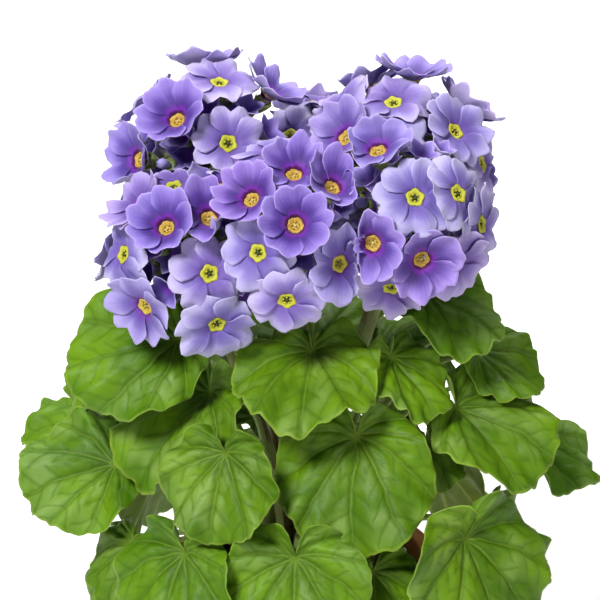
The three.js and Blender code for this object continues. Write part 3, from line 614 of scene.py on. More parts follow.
def grown(obj, tree, values):               # runs a tree on an object and keeps the result as a plain mesh
    modifier = obj.modifiers.new("grow", "NODES")
    modifier.node_group = tree
    for socket in tree.interface.items_tree:
        if socket.in_out == "INPUT" and socket.name in values:
            modifier[socket.identifier] = values[socket.name]
    bpy.context.view_layer.update()
    ready = obj.evaluated_get(bpy.context.evaluated_depsgraph_get())
    mesh = bpy.data.meshes.new_from_object(ready)
    obj.modifiers.remove(modifier)
    old, obj.data = obj.data, mesh
    bpy.data.meshes.remove(old)
    mesh.name = obj.name
    return obj


def stalkTree():            # sweeps a round section along the object's edges, as thick as the radius says
    tree, t, given = newTree("stalks", {"Sides": "Int", "Material": "Material"})
    radius = t.node("GeometryNodeInputNamedAttribute", {"data_type": "FLOAT"}, {"Name": "radius"})
    lines = t.node("GeometryNodeMeshToCurve", None, {"Mesh": given["Geometry"]})
    section = t.node("GeometryNodeCurvePrimitiveCircle", None, {"Resolution": given["Sides"], "Radius": 1.0})
    tubes = t.node("GeometryNodeCurveToMesh", None,
                   {"Curve": lines, "Profile Curve": section, "Scale": radius, "Fill Caps": True})
    tubes = t.node("GeometryNodeSetShadeSmooth", None, {0: tubes})
    endTree(t, tubes, given["Material"])
    return tree


def hairTree():             # short tapered hairs that stand on the object's faces
    tree, t, given = newTree("hairs", {"Density": "Float", "Length": "Float", "Thickness": "Float",
                                       "Seed": "Int", "Material": "Material"})
    spots = t.node("GeometryNodeDistributePointsOnFaces", {"distribute_method": "RANDOM"},
                   {"Mesh": given["Geometry"], "Density": given["Density"], "Seed": given["Seed"]})
    normal = Value(t, spots.socket.node.outputs["Normal"])
    lean = t.node("FunctionNodeRandomValue", {"data_type": "FLOAT_VECTOR"},
                  {0: (-0.4, -0.4, -0.4), 1: (0.4, 0.4, 0.4), "Seed": given["Seed"]})
    way = t.node("ShaderNodeVectorMath", {"operation": "ADD"}, {0: normal, 1: lean})
    turn = t.node("FunctionNodeAlignRotationToVector", {"axis": "Z"}, {"Vector": way})
    size = t.node("FunctionNodeRandomValue", {"data_type": "FLOAT"}, {2: 0.5, 3: 1.0, "Seed": given["Seed"]}, 1)
    hair = t.node("GeometryNodeMeshCone", {"fill_type": "NGON"},
                  {"Vertices": 3, "Side Segments": 1, "Radius Top": 0.0, "Radius Bottom": given["Thickness"],
                   "Depth": given["Length"]})
    stood = t.node("GeometryNodeInstanceOnPoints", None,
                   {"Points": spots, "Instance": hair, "Rotation": turn, "Scale": size})
    endTree(t, stood, given["Material"])
    return tree


def crumbTree():            # rough grains half sunk in the object's faces
    tree, t, given = newTree("crumbs", {"Density": "Float", "Smallest": "Float", "Largest": "Float",
                                        "Seed": "Int", "Material": "Material"})
    spots = t.node("GeometryNodeDistributePointsOnFaces", {"distribute_method": "RANDOM"},
                   {"Mesh": given["Geometry"], "Density": given["Density"], "Seed": given["Seed"]})
    grain = t.node("GeometryNodeMeshIcoSphere", None, {"Radius": 1.0, "Subdivisions": 1})
    turn = t.node("FunctionNodeRandomValue", {"data_type": "FLOAT_VECTOR"},
                  {0: (0.0, 0.0, 0.0), 1: (6.28, 6.28, 6.28), "Seed": given["Seed"]})
    width = t.node("FunctionNodeRandomValue", {"data_type": "FLOAT"},
                   {2: given["Smallest"], 3: given["Largest"], "Seed": given["Seed"]}, 1)
    squeeze = t.node("FunctionNodeRandomValue", {"data_type": "FLOAT_VECTOR"},
                     {0: (0.6, 0.6, 0.45), 1: (1.0, 1.0, 0.8), "Seed": given["Seed"]})
    size = t.node("ShaderNodeVectorMath", {"operation": "SCALE"}, {0: squeeze, "Scale": width})
    lying = t.node("GeometryNodeInstanceOnPoints", None,
                   {"Points": spots, "Instance": grain, "Rotation": turn, "Scale": size})
    endTree(t, lying, given["Material"])
    return tree


trees = {"stalk": stalkTree(), "hair": hairTree(), "crumb": crumbTree()}


class Paths:                # collects lines of points for the stalk tree
    def __init__(self):
        self.points, self.edges, self.radii, self.red = [], [], [], []

    def add(self, points, radii, red):
        start = len(self.points)
        self.points += [list(p) for p in points]
        self.radii += [r * mm for r in radii]
        self.red += list(np.broadcast_to(red, len(points)))
        self.edges += [(i, i + 1) for i in range(start, start + len(points) - 1)]

    def grow(self, name, sides):
        mesh = bpy.data.meshes.new(name)
        mesh.from_pydata((np.array(self.points) * mm).tolist(), self.edges, [])
        for key, values in (("radius", self.radii), ("red", self.red)):
            mesh.attributes.new(key, "FLOAT", "POINT").data.foreach_set("value", values)
        made = objectOf(name, mesh)
        return grown(made, trees["stalk"], {"Sides": sides, "Material": paints["stem"]})


print("trees made:", ", ".join(trees))

ready = []                  # finished pieces: object, slot, nodes that it stands for


def keep(obj, slot, *nodes):
    ready.append((obj, slot, nodes))
    return obj


# Pot, thrown round: a tapered wall, a rim band and four drain holes
def innerRadius(z):
    taper = (pot["rim"] - pot["step"] - pot["base"]) / pot["height"]
    return pot["base"] + taper * z - pot["wall"]


def rounded(a, corner, b, radius, steps=4):      # a corner of a profile, cut back and rounded
    a, corner, b = (np.array(p, float) for p in (a, corner, b))
    start, end = corner + unit(a - corner) * radius, corner + unit(b - corner) * radius
    t = np.linspace(0, 1, steps + 1)[:, None]
    return list((1 - t) ** 2 * start + 2 * t * (1 - t) * corner + t ** 2 * end)


def potProfile():
    p = pot
    taper = (p["rim"] - p["step"] - p["base"]) / p["height"]
    foot = p["height"] - p["band"]
    wall = p["base"] + taper * foot
    corners = [(0, 0), (p["base"], 0), (wall, foot), (wall + p["step"], foot + p["edge"]),
               (p["rim"], p["height"]), (innerRadius(p["height"]), p["height"]),
               (innerRadius(p["floor"]), p["floor"]), (0, p["floor"])]
    flat = (p["drainRing"] - p["drainFlat"], p["drainRing"] + p["drainFlat"])
    profile = [corners[0]] + [(r, 0) for r in flat]
    for a, corner, b, radius in zip(corners, corners[1:], corners[2:], p["rounding"]):
        profile += rounded(a, corner, b, radius)
    profile += [(r, p["floor"]) for r in reversed(flat)] + [corners[-1]]
    fine = [profile[0]]
    for a, b in zip(profile, profile[1:]):
        count = max(1, int(np.linalg.norm(np.subtract(b, a)) // p["longest"]))
        fine += [tuple(mixed(np.array(a), np.array(b), (k + 1) / count)) for k in range(count)]
    return fine


def drainDrill():
    p, drills = pot, Gather()
    low, high = p["drillLow"], 3 * p["floor"]
    for k in range(p["drainHoles"]):
        angle = 2 * math.pi * (k + 0.5) / p["drainHoles"]
        spot = upright(p["drainRing"] * math.cos(angle), p["drainRing"] * math.sin(angle))
        profile = [(0, low), (p["drainRadius"], low), (p["drainRadius"], high), (0, high)]
        drills.add(*turned(profile, p["drainSides"], spot))
    return objectOf("drill", drills.mesh("drill"))


def buildPot():
    body = Gather()
    body.add(*turned(potProfile(), pot["sides"], upright()))
    made, drill = objectOf("clay_pot", body.mesh("clay_pot"), "clay"), drainDrill()
    cut = made.modifiers.new("drain", "BOOLEAN")
    cut.object, cut.solver = drill, "EXACT"
    bpy.context.view_layer.update()
    mesh = bpy.data.meshes.new_from_object(made.evaluated_get(bpy.context.evaluated_depsgraph_get()))
    made.modifiers.remove(cut)
    bpy.data.objects.remove(drill)
    made.data = mesh
    mesh.name = "clay_pot"
    mesh.shade_smooth()
    mesh.set_sharp_from_angle(angle=rad(50))
    keep(made, "clay", "pot")


# Soil: a low crown with lumps, each a number and the waves per millimetre, and loose grains on it
bed = {"sides": 96, "rings": 30, "lumps": ((2, 0.055), (5, 0.13), (9, 0.24), (14, 0.45)),
       "lumpHeight": 0.9, "evenEdge": 4, "bareEdge": 3}
grains = {                  # paint, number to a square metre, smallest and largest, seed
    "soil_crumbs": ("soil", 130000.0, 0.6, 2.2, 3),
    "soil_perlite": ("perlite", 7000.0, 0.7, 1.7, 8),
}


def soilTop(r, angle):
    edge = innerRadius(soil["level"]) - soil["gap"]
    x, y = r * np.cos(angle), r * np.sin(angle)
    lumps = 0.0
    for i, (shift, waves) in enumerate(bed["lumps"]):
        lumps = lumps + np.sin(waves * x + i) * np.sin(waves * y + 2 * i + shift) / (1 + i)
    rise = soil["crown"] * (1 - (r / edge) ** 2)
    return soil["level"] + rise + bed["lumpHeight"] * lumps * smooth(edge - r, 0, bed["evenEdge"])


def buildSoil():
    low = pot["floor"] + soil["gap"]
    edge, foot = innerRadius(soil["level"]) - soil["gap"], innerRadius(low) - soil["gap"]
    angle = np.linspace(0, 2 * math.pi, bed["sides"], endpoint=False)
    place, ringRadii = upright(), list(np.linspace(edge, 0, bed["rings"]))
    sides = [(0, low), (foot, low), (mixed(foot, edge, 0.5), mixed(low, soil["level"], 0.5))]
    grid = [place(r, angle, z) for r, z in sides] + [place(r, angle, soilTop(r, angle)) for r in ringRadii]
    body = Gather()
    body.add(np.array(grid), turnedFaces(len(grid), bed["sides"]))
    keep(objectOf("soil_bed", body.mesh("soil_bed"), "soil"), "soil", "potting_soil")
    top = Gather()
    inner = sum(r >= edge - bed["bareEdge"] for r in ringRadii)
    top.add(np.array(grid)[len(sides) + inner:], turnedFaces(len(ringRadii) - inner, bed["sides"]))
    for name, (paint, density, least, most, seed) in grains.items():
        scatter = objectOf(name, top.mesh(name))
        grown(scatter, trees["crumb"], {"Density": density, "Smallest": least * mm, "Largest": most * mm,
                                        "Seed": seed, "Material": paints[paint]})
        keep(scatter, "soil")


buildPot()
buildSoil()
print("pot and soil made")


# Stems
stems = {"radius": 2.4, "top": 1.9, "ring": 11, "steps": 26, "sides": 14, "hub": 3.4, "upright": 0.45,
         "arriving": 0.35, "petiole": 2.0, "petioleTip": 1.3, "petioleEnd": 0.4, "neck": 3,
         "petioleSteps": 18, "petioleSides": 12}


def stemPath(foot, end, endWay, steps):     # upright out of the soil, then in one bend to its end
    deep = np.array([foot[0], foot[1], soil["level"] - soil["holeDepth"] + soil["gap"]])
    out = np.array([foot[0], foot[1], soil["level"] + soil["crown"] + soil["footRise"]])
    reach = np.linalg.norm(end - out)
    b, c = out + up * stems["upright"] * reach, end - endWay * stems["arriving"] * reach
    t = np.linspace(0, 1, steps + 1)[:, None]
    bend = (1 - t) ** 3 * out + 3 * t * (1 - t) ** 2 * b + 3 * t * t * (1 - t) * c + t ** 3 * end
    return np.vstack([deep[None], bend])


def hubOf(umbel):
    x, y, z = umbel["hub"]
    return np.array([x, y, soil["level"] + z], float)


def buildStems():
    for i, umbel in enumerate(umbels):
        hub = hubOf(umbel)
        arriving = unit(unit(hub - np.array([0, 0, soil["level"]])) + up)
        end = hub - arriving * (stems["hub"] + soil["gap"])
        path = stemPath(unit(hub * [1, 1, 0]) * stems["ring"], end, arriving, stems["steps"])
        share = np.clip((np.arange(len(path)) - 1) / stems["steps"], 0, 1)
        radii = mixed(stems["radius"], stems["top"], share)
        line = Paths()
        line.add(path, radii, 1 - smooth(share, 0.35, 0.9))
        keep(line.grow("scape_%d" % (i + 1), stems["sides"]), "stem", "flower_stem_%d" % (i + 1))


buildStems()
print("flower stems made:", len(umbels))

# Leaves: a funnelled, wavy blade whose lamina puffs up between its veins, on a petiole
blade = {"offset": 0.52, "limit": 171.0, "round": 30.0, "rows": 21, "cols": 109, "crowd": 0.85,
         "thickness": 0.55, "halves": (0.5, 0.3), "funnel": 0.14, "wave": 0.12, "waviness": (0.8, 1.4),
         "fewestWaves": 5, "moreWaves": 3, "backLobes": 0.16, "crossBend": 0.0035, "lobes": 9, "lobing": 0.045,
         "scallops": 29, "scallop": 0.022, "ruffle": 0.060, "groove": 0.9, "grooveWidth": 1.6, "puff": 1.7,
         "quilt": 0.38, "crinkle": 0.95, "crinkles": ((0.09, 1.1), (0.17, 0.8), (0.33, 0.35))}


def bladeFrame(leaf):
    (azimuth, reach, rise), (heading, pitch, roll) = leaf[0], leaf[1]
    foot = ground(azimuth) * reach + up * (soil["level"] + rise)
    along = skyward(heading, pitch)
    across = turnedAbout(unit(np.cross(up, along)), along, roll)
    return foot, along, across, np.cross(along, across)


def bladeEdge(f, turn, seed):       # how far out the edge lies, as a share of the plain outline
    b = blade
    close = np.clip((b["limit"] - np.degrees(np.abs(turn))) / b["round"], 0, 1)
    lobe = 0.45 + 0.55 * np.sqrt(np.clip(1 - (1 - close) ** 2, 0, 1))
    scallop = b["scallop"] * (np.abs(np.cos(turn * b["scallops"] / 2 + draw(seed, 6))) ** 0.8 - 0.55)
    drift = 0.6 * np.sin(2 * turn + 6 * draw(seed, 13))
    lobing = b["lobing"] * (np.abs(np.cos(turn * b["lobes"] / 2 + drift + 6 * draw(seed, 7))) - 0.6)
    uneven = 0.03 * np.sin(2 * turn + 6 * draw(seed, 7)) + 0.02 * np.sin(5 * turn + 6 * draw(seed, 8))
    return lobe * (1 + (scallop + lobing + uneven) * f ** 4)


def bladeForm(leaf, f, angle, x, y, seed):      # funnel, waves, raised back lobes and droop
    b, size, droop = blade, leaf[2], leaf[3]
    waves, phase = b["fewestWaves"] + math.floor(b["moreWaves"] * draw(seed, 1)), 2 * math.pi * draw(seed, 2)
    wave = b["wave"] * mixed(*b["waviness"], draw(seed, 14)) * size * f * f
    form = b["funnel"] * size * (1 - np.exp(-4 * f)) + wave * np.sin(waves * angle + phase)
    form = form + b["backLobes"] * size * f * (0.5 - 0.5 * np.cos(angle))
    return form - 0.5 * droop * np.maximum(x, 0) ** 2 - b["crossBend"] * y ** 2


def bladeRelief(leaf, f, turn, angle, x, y, seed):
    # veins and the lamina between them, on the same lines as in the material, then the ruffled edge
    b, look, size, r = blade, leafLook, leaf[2], np.hypot(x, y)
    step = rad(look["step"])
    fan = np.abs(angle) * (1 + look["bow"] * f) / step
    index = np.round(fan)
    aside = np.abs(fan - index) * step * r
    gap = np.abs(fan - index) * 2
    chevron = (r - aside * look["slant"]) / look["spacing"] + index * 0.37
    inner = 1 - f ** 5
    fine = -b["groove"] * np.exp(-(aside / b["grooveWidth"]) ** 2) * smooth(r, 2, 9) * inner
    fine = fine + b["puff"] * np.sin(gap * math.pi / 2) * f * inner
    fine = fine - b["quilt"] * np.cos(2 * math.pi * chevron) * smooth(aside, 0.5, 4) * inner
    for k, (waves, amount) in enumerate(b["crinkles"]):
        swing = np.sin(waves * x + 6 * draw(seed, 20 + k)) * np.sin(waves * y + 6 * draw(seed, 30 + k))
        fine = fine + b["crinkle"] * amount * swing * f
    swell = 0.5 + 0.5 * np.sin(3 * turn + 6 * draw(seed, 11))
    ruffles = np.sin((13 + 4 * draw(seed, 9)) * turn + 6 * draw(seed, 10)) * (0.35 + swell)
    return fine + b["ruffle"] * size * f ** 4 * ruffles


def bladeSheet(leaf, seed):
    foot, along, across, face = bladeFrame(leaf)
    b = blade
    f = (np.linspace(0, 1, b["rows"]) ** b["crowd"])[:, None]
    turn = np.radians(np.linspace(-b["limit"], b["limit"], b["cols"]))[None, :]
    outline = np.stack([b["offset"] + np.cos(turn), np.sin(turn)], -1) * leaf[2]
    edge = bladeEdge(f, turn, seed)
    x, y = outline[..., 0] * f * edge, outline[..., 1] * f * edge
    angle = np.arctan2(outline[..., 1], outline[..., 0])
    height = bladeForm(leaf, f, angle, x, y, seed) + bladeRelief(leaf, f, turn, angle, x, y, seed)
    grid = foot + along * x[..., None] + across * y[..., None] + face * height[..., None]
    return grid, x, y, f + 0 * x


def buildBlade(leaf, seed, name):
    face = bladeFrame(leaf)[3]
    grid, x, y, out = bladeSheet(leaf, seed)
    normals = gridNormals(grid)
    half = blade["thickness"] * mixed(*blade["halves"], out ** 4)[..., None]
    points = twoSides(grid, normals * half)
    start, cols = blade["rows"] * blade["cols"], blade["cols"]
    points[:cols] = grid[0, 0] + face * half[0, 0]      # the first row of each side is a single point
    points[start:start + cols] = grid[0, 0] - face * half[0, 0]
    side = np.repeat([1.0, 0.0], start)
    flat = np.tile(np.stack([x, y, 0 * x + 40 * seed], -1).reshape(-1, 3) * mm, (2, 1))
    numbers = {"out": np.tile(out.ravel(), 2), "side": side, "tint": np.full(2 * start, draw(seed, 12))}
    mesh = meshOf(name, points, shellFaces(blade["rows"], cols, True), numbers, {"flat": flat})
    weld(mesh)
    return objectOf(name, mesh, "leaf")


def buildPetiole(leaf, name):
    foot, along, _, face = bladeFrame(leaf)
    neck = foot - unit(along + face) * stems["neck"]
    base = ground(leaf[0][0]) * rings[leaf[4]]
    path = np.vstack([stemPath(base, neck, unit(along + face), stems["petioleSteps"]), foot[None]])
    share = np.clip((np.arange(len(path)) - 1) / stems["petioleSteps"], 0, 1)
    radii = mixed(stems["petiole"], stems["petioleTip"], share)
    radii[-1] = stems["petioleEnd"]
    line = Paths()
    line.add(path, radii, 0.55 * (1 - smooth(share, 0.1, 0.6)))
    return line.grow(name, stems["petioleSides"])


petioles = []
for seed, leaf in enumerate(leaves):
    name = "leaf_%02d" % (seed + 1)
    sheet, stalk = buildBlade(leaf, seed, name + "_blade"), buildPetiole(leaf, name + "_petiole")
    petioles.append(stalk.data.copy())
    keep(joined(name + "_fine", [sheet, stalk]), "leaf", name)
print("leaves made:", len(leaves))

# Flowers
flowerShape = {
    "radius": 20.5, "youngShrink": 0.9, "sizes": (0.94, 0.1), "lobes": 5, "lean": 0.2, "youngCup": 9,
    "oldCup": 1.5, "cupSpread": 3, "cupCurve": 1.6, "ageSinks": 8, "rankSpread": 2, "throat": 3.5,
    "throatDepth": 1.7, "throatWidth": 1.6, "calyxBase": 12.6,
    "pedicel": 1.1, "pedicelBend": 0.12, "pedicelPoints": 9, "pedicelStart": 0.5, "pedicelRed": 0.35,
    # a petal's grid, its half thickness at its foot and rim, its outline and its relief
    "rows": 11, "cols": 15, "crowd": (0.8, 0.85), "thickness": 0.38, "halves": (0.5, 0.22), "overlap": 14,
    "notch": 0.15, "notchWidth": 0.17, "notchAges": (0.75, 1.25), "rounding": 0.34, "lap": 1.1, "ruffle": 1.9,
    "toss": 4.4, "crease": 0.75, "creaseWidth": 0.13, "curl": (0.9, -1.3),
}
# how petals keep off each other: the gap at a plane, how far they slide past their own umbel's
# planes, how much they rise as they are drawn in, and how deep they pass under a flower above
fitting = {
    "gap": 0.45, "lapGap": 0.35, "slide": 5.0, "lift": 0.8, "lowLift": 0.0, "lifting": (-0.35, 0.0),
    "closing": 0.15, "closed": (0.3, 2), "most": 0.62, "soft": 2.0, "even": (0.3, 0.55), "far": (0.15, 0.5),
    "calming": 1.5, "under": 4.2, "deepest": 13, "rimInside": 0, "rimOutside": 4, "loose": 0.4, "calyx": 4.6,
}


def spiralWay(k):
    rise = math.degrees(math.asin(1 - fill["span"] * (k + 0.3) / fill["tries"]))
    return skyward(fill["golden"] * k, rise)


def umbelPlanes(u):         # between an umbel's share of the head and those of the others
    own = hubOf(umbels[u]) + np.array(umbels[u]["share"])
    nexts = [hubOf(other) + np.array(other["share"]) for v, other in enumerate(umbels) if v != u]
    return [((other + own) / 2, unit(other - own)) for other in nexts]


def placeFlowers():
    placed = []

    def add(u, way, reach, age):
        flower = {"umbel": u, "way": way, "reach": reach, "age": age, "seed": len(placed)}
        placed.append({**flower, **flowerFrame(flower)})

    for u, umbel in enumerate(umbels):
        for azimuth, elevation, reach, age in umbel["flowers"]:
            add(u, skyward(azimuth, elevation), reach, age)
    for u, umbel in enumerate(umbels):
        planes = umbelPlanes(u)
        for k in range(fill["tries"]):
            way = spiralWay(k)
            place = hubOf(umbel) + way * fill["reach"]
            free = all(np.linalg.norm(place - other["middle"]) > fill["spacing"] for other in placed)
            deep = min((onPlane - place) @ normal for onPlane, normal in planes) > fill["inside"]
            outward = way @ unit(place - fill["centre"]) > fill["outward"]
            if free and deep and outward and place[2] >= fill["lowest"]:
                add(u, way, fill["reach"], mixed(fill["youngest"], 1, draw(u, k)))
    return placed


def flowerFrame(flower):
    s, seed, age = flowerShape, flower["seed"], flower["age"]
    hub = hubOf(umbels[flower["umbel"]])
    middle = hub + flower["way"] * flower["reach"]
    facing = unit(flower["way"] + up * s["lean"])
    spin = 2 * math.pi * draw(seed, 3)
    tilt = Vector((0, 0, 1)).rotation_difference(Vector(facing))
    first = np.array(tilt @ Vector((math.cos(spin), math.sin(spin), 0)))
    second = np.cross(facing, first)
    smallest, spread = s["sizes"]
    radius = s["radius"] * mixed(s["youngShrink"], 1, age) * (smallest + spread * draw(seed, 4))
    cup = mixed(s["youngCup"], s["oldCup"] - s["cupSpread"] * draw(seed, 5), age)
    rank = flower["reach"] - s["ageSinks"] * age + s["rankSpread"] * draw(seed, 6)

    def ray(angle):
        return first * np.cos(angle)[..., None] + second * np.sin(angle)[..., None]

    def place(r, angle, height):
        r, angle, height = np.broadcast_arrays(r, angle, height)
        return middle + ray(angle) * r[..., None] + facing * height[..., None]

    return {"hub": hub, "middle": middle, "facing": facing, "radius": radius, "cup": cup, "rank": rank,
            "ray": ray, "place": place}


def cellPlanes(flower, flowers):        # planes that keep a flower's petals off its neighbours'
    planes = []
    for other in flowers:
        if other is not flower and other["umbel"] == flower["umbel"]:
            apart = unit(other["middle"] - flower["middle"])
            slide = fitting["slide"] * (flower["age"] if other["rank"] > flower["rank"] else 1)
            lift = fitting["lift"] if other["rank"] < flower["rank"] else fitting["lowLift"]
            planes.append(((other["middle"] + flower["middle"]) / 2 + apart * slide, apart, lift))
    return planes + [(*plane, fitting["lift"]) for plane in umbelPlanes(flower["umbel"])]


def eased(field):           # evens a grid of numbers out with its neighbours, twice along each side
    for axis in (0, 1, 0, 1):
        rows = np.moveaxis(field, axis, 0)
        before, after = np.concatenate([rows[:1], rows[:-1]]), np.concatenate([rows[1:], rows[-1:]])
        field = np.moveaxis(0.25 * before + 0.5 * rows + 0.25 * after, 0, axis)
    return field


def drawnIn(flower, planes, r, angle, height, gap):
    # the share of each radius that is lost for the petal to stay in its cell, and how far it rises instead
    points = flower["place"](r, angle, height)
    rays = flower["ray"](angle)
    back, raised = np.zeros(r.shape), np.zeros(r.shape)
    for onPlane, normal, lift in planes:
        past = (points - onPlane) @ normal + gap
        away = -(flower["facing"] @ normal)
        lift = lift * smooth(away, *fitting["lifting"])
        closing = rays @ normal + lift * max(away, 0)
        needed = past / np.maximum(closing, fitting["closing"])
        soft = 0.5 * (needed + np.sqrt(needed ** 2 + fitting["soft"] ** 2))
        soft = soft * smooth(closing, *(share * fitting["closing"] for share in fitting["closed"]))
        back, raised = np.maximum(back, soft), np.maximum(raised, lift * soft)
    far = smooth(r, *(share * flower["radius"] for share in fitting["far"]))
    share = np.minimum(back * far / r, fitting["most"])
    widest, usual = share.max(axis=1, keepdims=True), share.mean(axis=1, keepdims=True)
    share = eased(mixed(share, widest, smooth(usual, *fitting["even"])))
    lift = eased(raised / np.maximum(back, 0.01))
    return share, lift * share * r


def depthUnder(flower, above, r, angle, height):        # how far down to lie under the flowers above
    down = np.zeros(r.shape)
    points = flower["place"](r, angle, height)
    for other in above:
        away = points - other["middle"]
        rise = away @ other["facing"]
        out = np.sqrt(np.maximum((away ** 2).sum(-1) - rise ** 2, 0))
        sheet = other["cup"] * (out / other["radius"]) ** flowerShape["cupCurve"] - fitting["under"]
        rim = smooth(out, other["radius"] - fitting["rimInside"], other["radius"] + fitting["rimOutside"])
        down = np.maximum(down, (1 - rim) * (rise - sheet))
    loose = smooth(r, fitting["calyx"], fitting["loose"] * flower["radius"])
    return eased(loose * np.minimum(down, fitting["deepest"]))


petalFaces = shellFaces(flowerShape["rows"], flowerShape["cols"])


def petalSheet(flower, k, v, u):        # radius, angle and height of a petal's points, and its relief
    s, age = flowerShape, flower["age"]
    pick = lambda j: draw(flower["seed"], 100 + 10 * k + j)
    size = flower["radius"] * (0.97 + 0.06 * pick(0))
    notch = s["notch"] * mixed(*s["notchAges"], age) * (0.7 + 0.6 * pick(1))
    rim = (1 - s["rounding"] * np.abs(u) ** 3.2) * (1 - notch * np.exp(-(u / s["notchWidth"]) ** 2))
    rim = rim * (1 + 0.014 * np.sin(9 * u + 6 * pick(2)) + 0.010 * np.sin(17 * u + 6 * pick(3)))
    r = s["throat"] + (size * rim - s["throat"]) * v
    half = np.radians(180 / s["lobes"] + s["overlap"] * smooth(v, 0, 0.65))
    angle = 2 * math.pi * (k + 0.5) / s["lobes"] + u * half
    height = flower["cup"] * (r / flower["radius"]) ** s["cupCurve"]
    height = height - s["throatDepth"] * np.exp(-(r - s["throat"]) / s["throatWidth"])
    calm = smooth(1 - np.abs(u), 0.0, 0.6)      # leaves the sides smooth, where petals overlap
    relief = s["lap"] * u * smooth(v, 0, 0.5)
    relief = relief + s["ruffle"] * v ** 3 * calm * np.sin((5 + 3 * pick(4)) * u + 6 * pick(5))
    relief = relief + s["toss"] * (pick(6) - 0.5) * v ** 2 * calm
    relief = relief - s["crease"] * v * np.exp(-(u / s["creaseWidth"]) ** 2)
    relief = relief + mixed(*s["curl"], age) * smooth(v, 0.7, 1) * calm
    return r, angle, height, relief


def addPetals(flower, flowers, petals):
    s, seed = flowerShape, flower["seed"]
    planes = cellPlanes(flower, flowers)
    above = [other for other in flowers if other["umbel"] == flower["umbel"] and other["rank"] > flower["rank"]]
    crowdRows, crowdCols = s["crowd"]
    v = (np.linspace(0, 1, s["rows"]) ** crowdRows)[:, None]
    u = np.linspace(-1, 1, s["cols"])
    u = (np.sign(u) * np.abs(u) ** crowdCols)[None, :]
    gap = fitting["gap"] + fitting["lapGap"] * (1 + u + 0 * v)
    for k in range(s["lobes"]):
        r, angle, height, relief = petalSheet(flower, k, v, u)
        share, raised = drawnIn(flower, planes, r, angle, height + relief, gap)
        r, relief = r * (1 - share), relief * (1 - share) ** fitting["calming"]
        height = height + raised
        height = height + relief - depthUnder(flower, above, r, angle, height)
        grid = flower["place"](r, angle, height)
        half = s["thickness"] * mixed(*s["halves"], v ** 3)[..., None]
        both = lambda a: np.tile(np.broadcast_to(a, r.shape).ravel(), 2)
        petals.add(twoSides(grid, gridNormals(grid) * half), petalFaces, along=both(v), across=both(u),
                   age=flower["age"], tint=0.8 * draw(seed, 90) + 0.2 * draw(seed, 107 + 10 * k),
                   under=np.repeat([0.0, 1.0], r.size))


# Parts turned round a flower's axis: rows of radius and height, rows that swell and rise at the five
# lobes, and the numbers that the materials read in each row
tube = {"sides": 14,
        "rows": [(0, -10.6), (1.6, -10.4), (1.8, -7), (2.2, -5), (3.2, -3.2), (4.1, -1.6), (3.6, -2.1),
                 (0, -4.4)],
        "numbers": {"along": [-1, -1, -0.8, -0.5, -0.1, 0.02, -0.1, -1]}}
eye = {"sides": 20,
       "rows": [(0, -4.2), (2.2, -3.8), (3.3, -2.2), (4.4, -1.0), (3.7, -0.55), (2.9, -0.85), (2.0, -1.7),
                (1.1, -2.3), (0, -2.2)],
       "lobed": {2: (0.09, 0), 3: (0.12, 0.1), 4: (0.12, 0.18), 5: (0.12, 0.12)},
       "numbers": {"out": [0, 0.6, 1, 1, 0.85, 0.65, 0.45, 0.2, 0]}}
pollen = {"sides": 8, "middle": (-1.5, 0.75), "ring": (1.75, -1.3, 0.55), "count": 5}
calyx = {"sides": 20,
         "rows": [(0, -13.4), (1.3, -12.9), (2.1, -11.6), (3.2, -9.6), (4.2, -7.2), (4.8, -5.0), (4.5, -4.8),
                  (3.9, -7.2), (2.9, -9.4), (0, -10.4)],
         "lobed": {4: (0.02, 0.2), 5: (0.05, 1.0), 6: (0.05, 1.0), 7: (0.02, 0.2)}}


def addTurned(part, flower, gather, size=1, **numbers):
    rows = [(r * size, z) for r, z in part["rows"]]
    points, faces = turned(rows, part["sides"], flower["place"], flowerShape["lobes"], part.get("lobed"))
    inRows = {key: np.repeat(values, part["sides"]) for key, values in part.get("numbers", {}).items()}
    gather.add(points, faces, **inRows, **numbers)


def addPollen(flower, eyes):            # one ball in the middle of the eye and a ring of smaller ones
    ball = lambda r: [(0, -r), (0.7 * r, -0.7 * r), (r, 0), (0.7 * r, 0.7 * r), (0, r)]
    (height, size), (ringRadius, ringHeight, ringSize) = pollen["middle"], pollen["ring"]
    balls = [(0, 0, height, size)]
    balls += [(ringRadius, 2 * math.pi * (k + 0.5) / pollen["count"], ringHeight, ringSize)
              for k in range(pollen["count"])]
    for r, turn, height, size in balls:
        spot = flower["place"](r, turn, height)
        side = unit(flower["place"](1, 0, 0) - flower["place"](0, 0, 0))
        other = np.cross(flower["facing"], side)
        shape = lambda q, a, z: (spot + side * (q * np.cos(a))[..., None] + other * (q * np.sin(a))[..., None]
                                 + flower["facing"] * (z + 0 * a)[..., None])
        points, faces = turned(ball(size), pollen["sides"], shape)
        eyes.add(points, faces, out=0.1 if r == 0 else 0.8, age=flower["age"])


